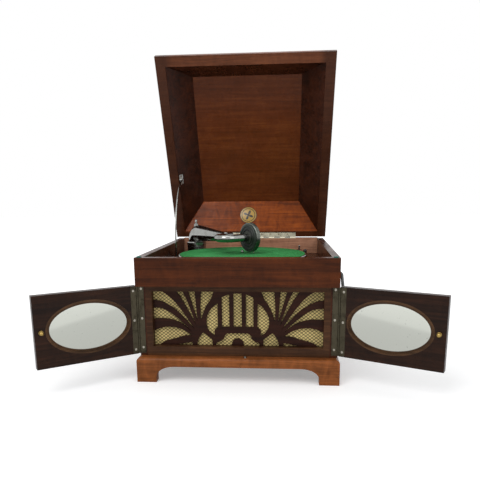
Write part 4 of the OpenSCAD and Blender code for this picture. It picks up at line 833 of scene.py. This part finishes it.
def turn_smooth(finish: Finish, *nodes: str, angle: float = 32.0) -> None:
    """Lays a smooth-shaded copy over turned, bent or cast CAD nodes.

    Args:
        finish: The copies' finish.
        nodes: The nodes' names.
        angle: The angle over which an edge stays sharp, in degrees.
    """
    record = frame["record"]
    bodies = {name: body for body, names in record["behaviour"]["bodies"].items() for name in names}
    for name in nodes:
        m = Mesh()
        m.bm.from_mesh(frame["nodes"][name].data)
        bmesh.ops.remove_doubles(m.bm, verts=m.bm.verts, dist=SAME_POINT)
        piece = m.done(f"{name}_turned", finish, bodies[name], angle=angle)
        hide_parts(name)


@dataclass
class Case:
    """The cabinet: panels, rail, plinth, feet, grille and its cloth."""

    weave_steps: tuple[int, int] = (64, 24)
    weave_gap: float = 0.0002
    weave_thick: float = 0.0003
    bulge: float = 0.00015
    bulge_edge: float = 0.25
    ripple: float = 0.00012
    ripple_turns: tuple[float, float] = (61.0, 83.0)
    ripple_start: float = 1.1

    def build(self) -> None:
        """Dresses the case and stretches its cloth."""
        outside = tones("2c1409 401f10 4f2816")
        # painted light: the back panel's inside face is paler to make up for the shade inside the case
        painted_light_inside = PaintedLightFace((0.0, 1.0, 0.0), float(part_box("back_panel")[0][1]), tones("855f4a b58267 cf9a7c"))
        paint(Wood("rail_wood", tones("341606 4a220c 5c2c11"), pore=0.45), "front_rail")
        paint(Wood("case_wood", outside, Along.Y, pore=0.45, seed=4), "side_panels")
        paint(Wood("back_wood", outside, seed=9, face=painted_light_inside), "back_panel")
        paint(Wood("plinth_wood", tones("5c3317 804924 9c5a2e"), figure=0.4, rough=0.32, seed=2),
              "plinth", "bracket_feet")
        paint(Wood("grille_wood", tones("2e1a0f 462c1a 5b3b24"), figure=0.2, rough=0.38, seed=7), "grille_frame")
        paint(Wood("board_wood", tones("261007 371a0d 452213"), Along.Y, rough=0.28, seed=5), "motor_board")
        paint(Wood("fret_wood", tones("1a0a05 2a130a 381b10"), figure=0.1, pore=0.35, rough=0.42, coat=0.04,
                   seed=3), "fretwork_grille")
        paint(PlainWood("carcass_wood", srgb("7a5a3c")), "bottom_board", "board_cleats")
        paint(PlainWood("horn_wood", srgb("8b6d48")), "horn_mouth")
        paint(Paint("throat_enamel", srgb("262625"), srgb("4a4640"), 0.45, 500), "horn_throat")
        paint(Felt("pad_baize", srgb("2f7268"), srgb("62a79b")), "lid_pads")
        self.cloth()

    def cloth(self) -> bpy.types.Object:
        """Stretches the cloth over the back of the fretwork.

        Returns:
            The cloth piece.
        """
        low, high = (Vector(c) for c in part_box("grille_cloth"))
        across, up = self.weave_steps
        m = Mesh()
        bmesh.ops.create_grid(m.bm, x_segments=across, y_segments=up, size=0.5)
        size = high - low
        bmesh.ops.scale(m.bm, vec=(size.x, size.z, 1), verts=m.bm.verts)
        bmesh.ops.rotate(m.bm, cent=(0, 0, 0), matrix=Matrix.Rotation(math.pi / 2, 3, "X"), verts=m.bm.verts)
        place = ((low.x + high.x) / 2, low.y + self.weave_gap, (low.z + high.z) / 2)
        bmesh.ops.translate(m.bm, vec=place, verts=m.bm.verts)
        turn_x, turn_z = self.ripple_turns
        for vert in m.bm.verts:
            off_x = abs(2 * (vert.co.x - low.x) / size.x - 1)
            off_z = abs(2 * (vert.co.z - low.z) / size.z - 1)
            inward = 1 - max(off_x, off_z)
            ripple = math.sin(vert.co.x * turn_x) * math.sin(vert.co.z * turn_z + self.ripple_start)
            vert.co.y += min(inward / self.bulge_edge, 1) * (self.bulge + self.ripple * ripple)
        weave = GrilleCloth("gold_cloth", srgb("efd791"), srgb("2a1c0b"))
        piece = m.done("woven_grille_cloth", weave, "case")
        wall = piece.modifiers.new("thickness", "SOLIDIFY")
        wall.thickness = self.weave_thick
        wall.offset = 1
        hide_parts("grille_cloth")
        return piece


@dataclass
class Lid:
    """The hipped lid with its stay, hinge and round inlay."""

    slope_normal: Triple = (0.0, -0.94813, 0.31787)
    slope_at: float = -0.1709
    rim_ends: Ends = Ends(-0.00724, 0.172, 0.196)
    inlay_radius: float = 0.0245
    inlay_at: Triple = (-0.01364, 0.29174, 0.33254)
    inlay_thick: float = 0.0004
    inlay_gap: float = 0.00005
    inlay_round: float = 0.0003
    inlay_shoulder: float = 0.6
    inlay_steps: int = 64

    def build(self) -> None:
        """Dresses the lid and lays its inlay."""
        # painted light and shade: the rear slope's paler orange tones stand in for the light it faces, the darker
        # slope tones for shade on the other slopes
        rear = PaintedLightFace(self.slope_normal, self.slope_at, tones("652c08 8a3f10 a85219"))
        paint(Wood("lid_rim_wood", tones("4c2817 6a3b24 804a2e"), figure=0.25, pore=0.45, seed=6,
                   ends=self.rim_ends), "lid_frame")
        paint(Wood("lid_slope_wood", tones("2c160d 3f1f13 4f2818"), figure=0.5, rough=0.28, seed=8, face=rear),
              "lid_slopes")
        paint(Wood("lid_panel_wood", tones("5c2d14 6b351a 79401f"), Along.LID, figure=0.35, rough=0.28, seed=1),
              "lid_top")
        turn_smooth(NICKEL, "lid_stay")
        paint(NICKEL, "lid_hinge_leaf")
        paint(SCREW, "lid_screws")
        self.inlay()

    def inlay(self) -> bpy.types.Object:
        """Lays the round inlay on the rear slope.

        Returns:
            The inlay piece.
        """
        normal = Vector(self.slope_normal)
        upward = normal.cross(Vector((-1, 0, 0)))
        centre = Vector(self.inlay_at)
        centre += normal * (self.slope_at - centre.dot(normal))
        r, t = self.inlay_radius, self.inlay_thick
        m = Mesh()
        m.lathe([(0, 0), (r, 0), (r, t * self.inlay_shoulder), (r - self.inlay_round, t), (0, t)],
                centre + normal * self.inlay_gap, normal, self.inlay_steps)
        finish = Rosette("round_inlay", tuple(centre), (1.0, 0.0, 0.0), tuple(upward), r, srgb("c39a3f"),
                         srgb("2c2116"), srgb("2a1d12"), srgb("4a2a18"))
        return m.done("round_inlay", finish, "lid")


@dataclass
class Doors:
    """The two doors with their bevelled mirrors."""

    bevel_angle: float = 4.0
    grain: tuple[tuple[str, Along, float], ...] = (("left", Along.LEFT_DOOR, 11), ("right", Along.RIGHT_DOOR, 13))

    def build(self) -> None:
        """Dresses both doors and the leaves on the case."""
        for side, along, seed in self.grain:
            paint(Wood(f"door_wood_{side}", tones("1a0d07 28160d 382014"), along, figure=0.25, seed=seed),
                  f"door_{side}")
            turn_smooth(Wood(f"ring_wood_{side}", tones("372516 4e3622 61432c"), along, figure=0.2, pore=0.3,
                             rough=0.32, coat=0.08), f"oval_frame_{side}")
            turn_smooth(GLASS, f"glass_{side}", angle=self.bevel_angle)
            turn_smooth(BRASS, f"door_knob_{side}")
            paint(BRONZE, f"door_hinge_{side}")
            paint(SCREW, f"door_screws_{side}")
        paint(BRONZE, "hinge_case_leaves")
        paint(SCREW, "case_screws")


@dataclass
class Works:
    """Turntable, motor, crank, controls and tone arm.

    felt_edge gives points of the felt's edge, as metres in from its rim and shares of its thickness.
    """

    felt_radius: float = 0.1524
    felt_rings: int = 24
    felt_steps: int = 160
    felt_nap: float = 0.0001
    felt_flat_to: float = 0.0006
    felt_edge: tuple[tuple[float, float], ...] = ((0.0002, 0.75), (0.0, 0.4), (0.0001, 0.0))
    hole_radius: float = 0.0042
    hole_shoulder: float = 0.7
    back_centre: Triple = (0.003923, 0.005057, 0.2903)
    back_axis: Triple = (0.75471, 0.656059, 0.0)
    # partly the back's real dark rubber and plate, partly painted light: near-black bands are painted shade in
    # its grooves, paler rings painted highlights on its ridges
    back_rings_and_painted_light: tuple[tuple[float, str], ...] = ((0.0, "35372f"), (0.015, "0c0d0c"), (0.019, "1f241f"),
                                                 (0.025, "0e100e"), (0.0262, "2a302a"))

    def build(self) -> None:
        """Dresses the works and lays the felt."""
        turn_smooth(NICKEL, "platter", "spindle", "tone_arm", "pivot_knob", "gooseneck", "arm_base", "catch_stud",
                    "brake_lever", "crank_escutcheon", "needle_screw")
        paint(NICKEL, "board_plates", "needle_bar")
        paint(SCREW, "needle")
        paint(Paint("motor_iron", srgb("3f4245"), srgb("6b675f"), 0.5, 400, 0.3), "motor_frame")
        paint(Metal("motor_steel", srgb("8e9092"), srgb("4b453c"), 0.5, 0.34), "spring_barrel", "winding_arbor",
              "crank_shaft")
        paint(Metal("gear_brass", srgb("b8955a"), srgb("6a4d28"), rough=0.28), "intermediate_gear", "governor")
        turn_smooth(Paint("crank_enamel", srgb("232323"), srgb("5b544a"), 0.35, 300, coat=0.3), "crank_arm")
        turn_smooth(Wood("grip_wood", tones("210c07 3f1a10 5e2c1c"), figure=0.2, pore=0.3, rough=0.25, coat=0.2),
                    "crank_grip")
        turn_smooth(Paint("knob_black", srgb("151514"), srgb("4a463e"), 0.3, 700, 0.1, 0.4), "speed_knob")
        turn_smooth(Metal("box_nickel", srgb("6c706a"), srgb("3a3a34"), 0.6, 0.26), "sound_box")
        # rings of real colour with painted highlights on the ridges and painted shade in the grooves
        rings = tuple((start, srgb(code)) for start, code in self.back_rings_and_painted_light)
        turn_smooth(TurnedRings("back_rubber_and_painted_light", self.back_centre, self.back_axis, rings, srgb("50524a")),
                    "sound_box_back")
        paint(Paint("mica_sheet", srgb("b9a878"), srgb("8a774c"), 0.2, 300, 0.1, 0.6), "diaphragm")
        self.felt()

    def felt(self) -> bpy.types.Object:
        """Lays the felt on the platter.

        Returns:
            The felt piece.
        """
        low, high = (Vector(c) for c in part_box("turntable_felt"))
        centre = (low + high) / 2
        r, thick, inner = self.felt_radius, high.z - low.z, self.hole_radius
        width = r - self.felt_flat_to - inner
        top = [(inner + width * i / self.felt_rings, thick - self.felt_nap * (i % 2))
               for i in range(self.felt_rings + 1)]
        edge = [(r - inset, thick * share) for inset, share in self.felt_edge]
        m = Mesh()
        hole = [(inner, 0), (inner, thick * self.hole_shoulder)]
        m.lathe(hole + top + edge + [(inner, 0)], (centre.x, centre.y, low.z), (0, 0, 1), self.felt_steps)
        finish = Felt("green_felt", srgb("2d8543"), srgb("55b76c"), (centre.x, centre.y))
        piece = m.done("green_felt", finish, "turntable")
        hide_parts("turntable_felt")
        return piece


@dataclass(frozen=True)
class Lamp:
    """A soft square lamp that looks at the case."""

    name: str
    at: Triple
    power: float
    size: float
    aim: Triple = (0.0, 0.0, 0.25)

    def build(self) -> bpy.types.Object:
        """Hangs the lamp.

        Returns:
            The lamp's object.
        """
        data = bpy.data.lights.new(self.name, "AREA")
        data.energy = self.power
        data.size = self.size
        lamp = bpy.data.objects.new(self.name, data)
        turn = (Vector(self.aim) - Vector(self.at)).to_track_quat("-Z", "Y").to_matrix().to_4x4()
        lamp.matrix_world = Matrix.Translation(self.at) @ turn
        bpy.context.scene.collection.objects.link(lamp)
        return lamp


@dataclass
class Studio:
    """Camera, lamps, white surroundings and the floor. Lengths in metres, angles in radians."""

    focal_px: float = 517.719
    principal_y_px: float = 306.521
    frame_px: float = 480.0
    film_mm: float = 36.0
    yaw: float = 0.082
    pitch: float = 0.213
    roll: float = -0.009
    at: Triple = (0.085722, -1.249046, 0.391597)
    nearest: float = 0.01
    lamps: tuple[Lamp, ...] = (Lamp("key", (-1.1, -1.9, 2.3), 34, 1.6), Lamp("fill", (1.9, -1.4, 1.5), 14, 1.8),
                               Lamp("top", (0.1, 0.1, 2.6), 16, 2.2))
    sky: Colour = (0.96, 0.98, 1.0)
    ambient: float = 0.45
    floor_front: float = -0.95
    floor_depth: float = 9.0
    floor_width: float = 12.0
    floor_grey: float = 0.86
    floor_rough: float = 0.8
    glow: float = 0.3
    glow_away: float = 0.45
    glow_reach: tuple[float, float] = (0.5, 1.6)
    dim: float = 0.2
    dim_edge: tuple[float, float] = (-0.7, -0.66)

    def build(self) -> None:
        """Sets the camera, the light and the floor."""
        self.camera()
        self.world()
        for lamp in self.lamps:
            lamp.build()
        self.floor()
        bpy.context.scene.view_settings.view_transform = "Standard"

    def camera(self) -> None:
        """Places the camera where the photograph was taken."""
        cy, sy = math.cos(self.yaw), math.sin(self.yaw)
        cp, sp = math.cos(self.pitch), math.sin(self.pitch)
        cr, sr = math.cos(self.roll), math.sin(self.roll)
        forward = Vector((-sy * cp, cy * cp, -sp))
        right = Vector((cy, sy, 0))
        up = right.cross(forward)
        right, up = right * cr + up * sr, up * cr - right * sr
        data = bpy.data.cameras.new("camera")
        data.sensor_fit = "HORIZONTAL"
        data.sensor_width = self.film_mm
        data.lens = self.focal_px / self.frame_px * self.film_mm
        data.shift_y = (self.principal_y_px - self.frame_px / 2) / self.frame_px
        data.clip_start = self.nearest
        camera = bpy.data.objects.new("camera", data)
        turn = Matrix((right, up, -forward)).transposed().to_4x4()
        camera.matrix_world = Matrix.Translation(self.at) @ turn
        bpy.context.scene.collection.objects.link(camera)
        bpy.context.scene.camera = camera

    def world(self) -> None:
        """Lights evenly from all round, and shows plain white behind and in reflections."""
        g = Graph("studio", world=True)
        _, seen = g.rays()
        light = g.node("ShaderNodeBackground", None, {"Color": self.sky, "Strength": self.ambient})
        shown = g.node("ShaderNodeBackground", None, {"Color": (1.0, 1.0, 1.0), "Strength": 1.0})
        g.end(g.node("ShaderNodeMixShader", None, {0: seen, 1: light, 2: shown}), "ShaderNodeOutputWorld")
        bpy.context.scene.world = g.material

    def floor(self) -> None:
        """Lays a pale floor that keeps the shadow and looks white to the camera and in reflections.

        It glows more the farther it is from the machine. In reflections its part behind dim_edge glows less.
        """
        g = Graph("studio_floor")
        camera, seen = g.rays()
        at = g.point()
        dimmed = g.axis(at, "Y").step(*self.dim_edge) * (1 - camera)
        glow = g.length(at).step(*self.glow_reach) * self.glow_away + self.glow - dimmed * self.dim
        pale = {"Base Color": (self.floor_grey, self.floor_grey, self.floor_grey), "Roughness": self.floor_rough}
        plain = g.node("ShaderNodeBsdfPrincipled", None, pale)
        white = g.node("ShaderNodeBsdfPrincipled", None,
                       pale | {"Emission Color": g.mix(glow, (0, 0, 0), (1, 1, 1)), "Emission Strength": 1.0})
        g.end(g.node("ShaderNodeMixShader", None, {0: seen, 1: plain, 2: white}))
        mesh = bpy.data.meshes.new("floor")
        bm = bmesh.new()
        bmesh.ops.create_grid(bm, x_segments=1, y_segments=1, size=0.5)
        bmesh.ops.scale(bm, vec=(self.floor_width, self.floor_depth, 1), verts=bm.verts)
        bmesh.ops.translate(bm, vec=(0, self.floor_front + self.floor_depth / 2, 0), verts=bm.verts)
        bm.to_mesh(mesh)
        bm.free()
        mesh.materials.append(g.material)
        floor = bpy.data.objects.new("floor", mesh)
        bpy.context.scene.collection.objects.link(floor)


def main() -> None:
    """Builds the studio and dresses each sub-assembly."""
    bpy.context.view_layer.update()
    Studio().build()
    for part in (Case(), Lid(), Doors(), Works()):
        part.build()
        LOG.info("built %s", type(part).__name__)


if __name__ == "__main__":
    main()
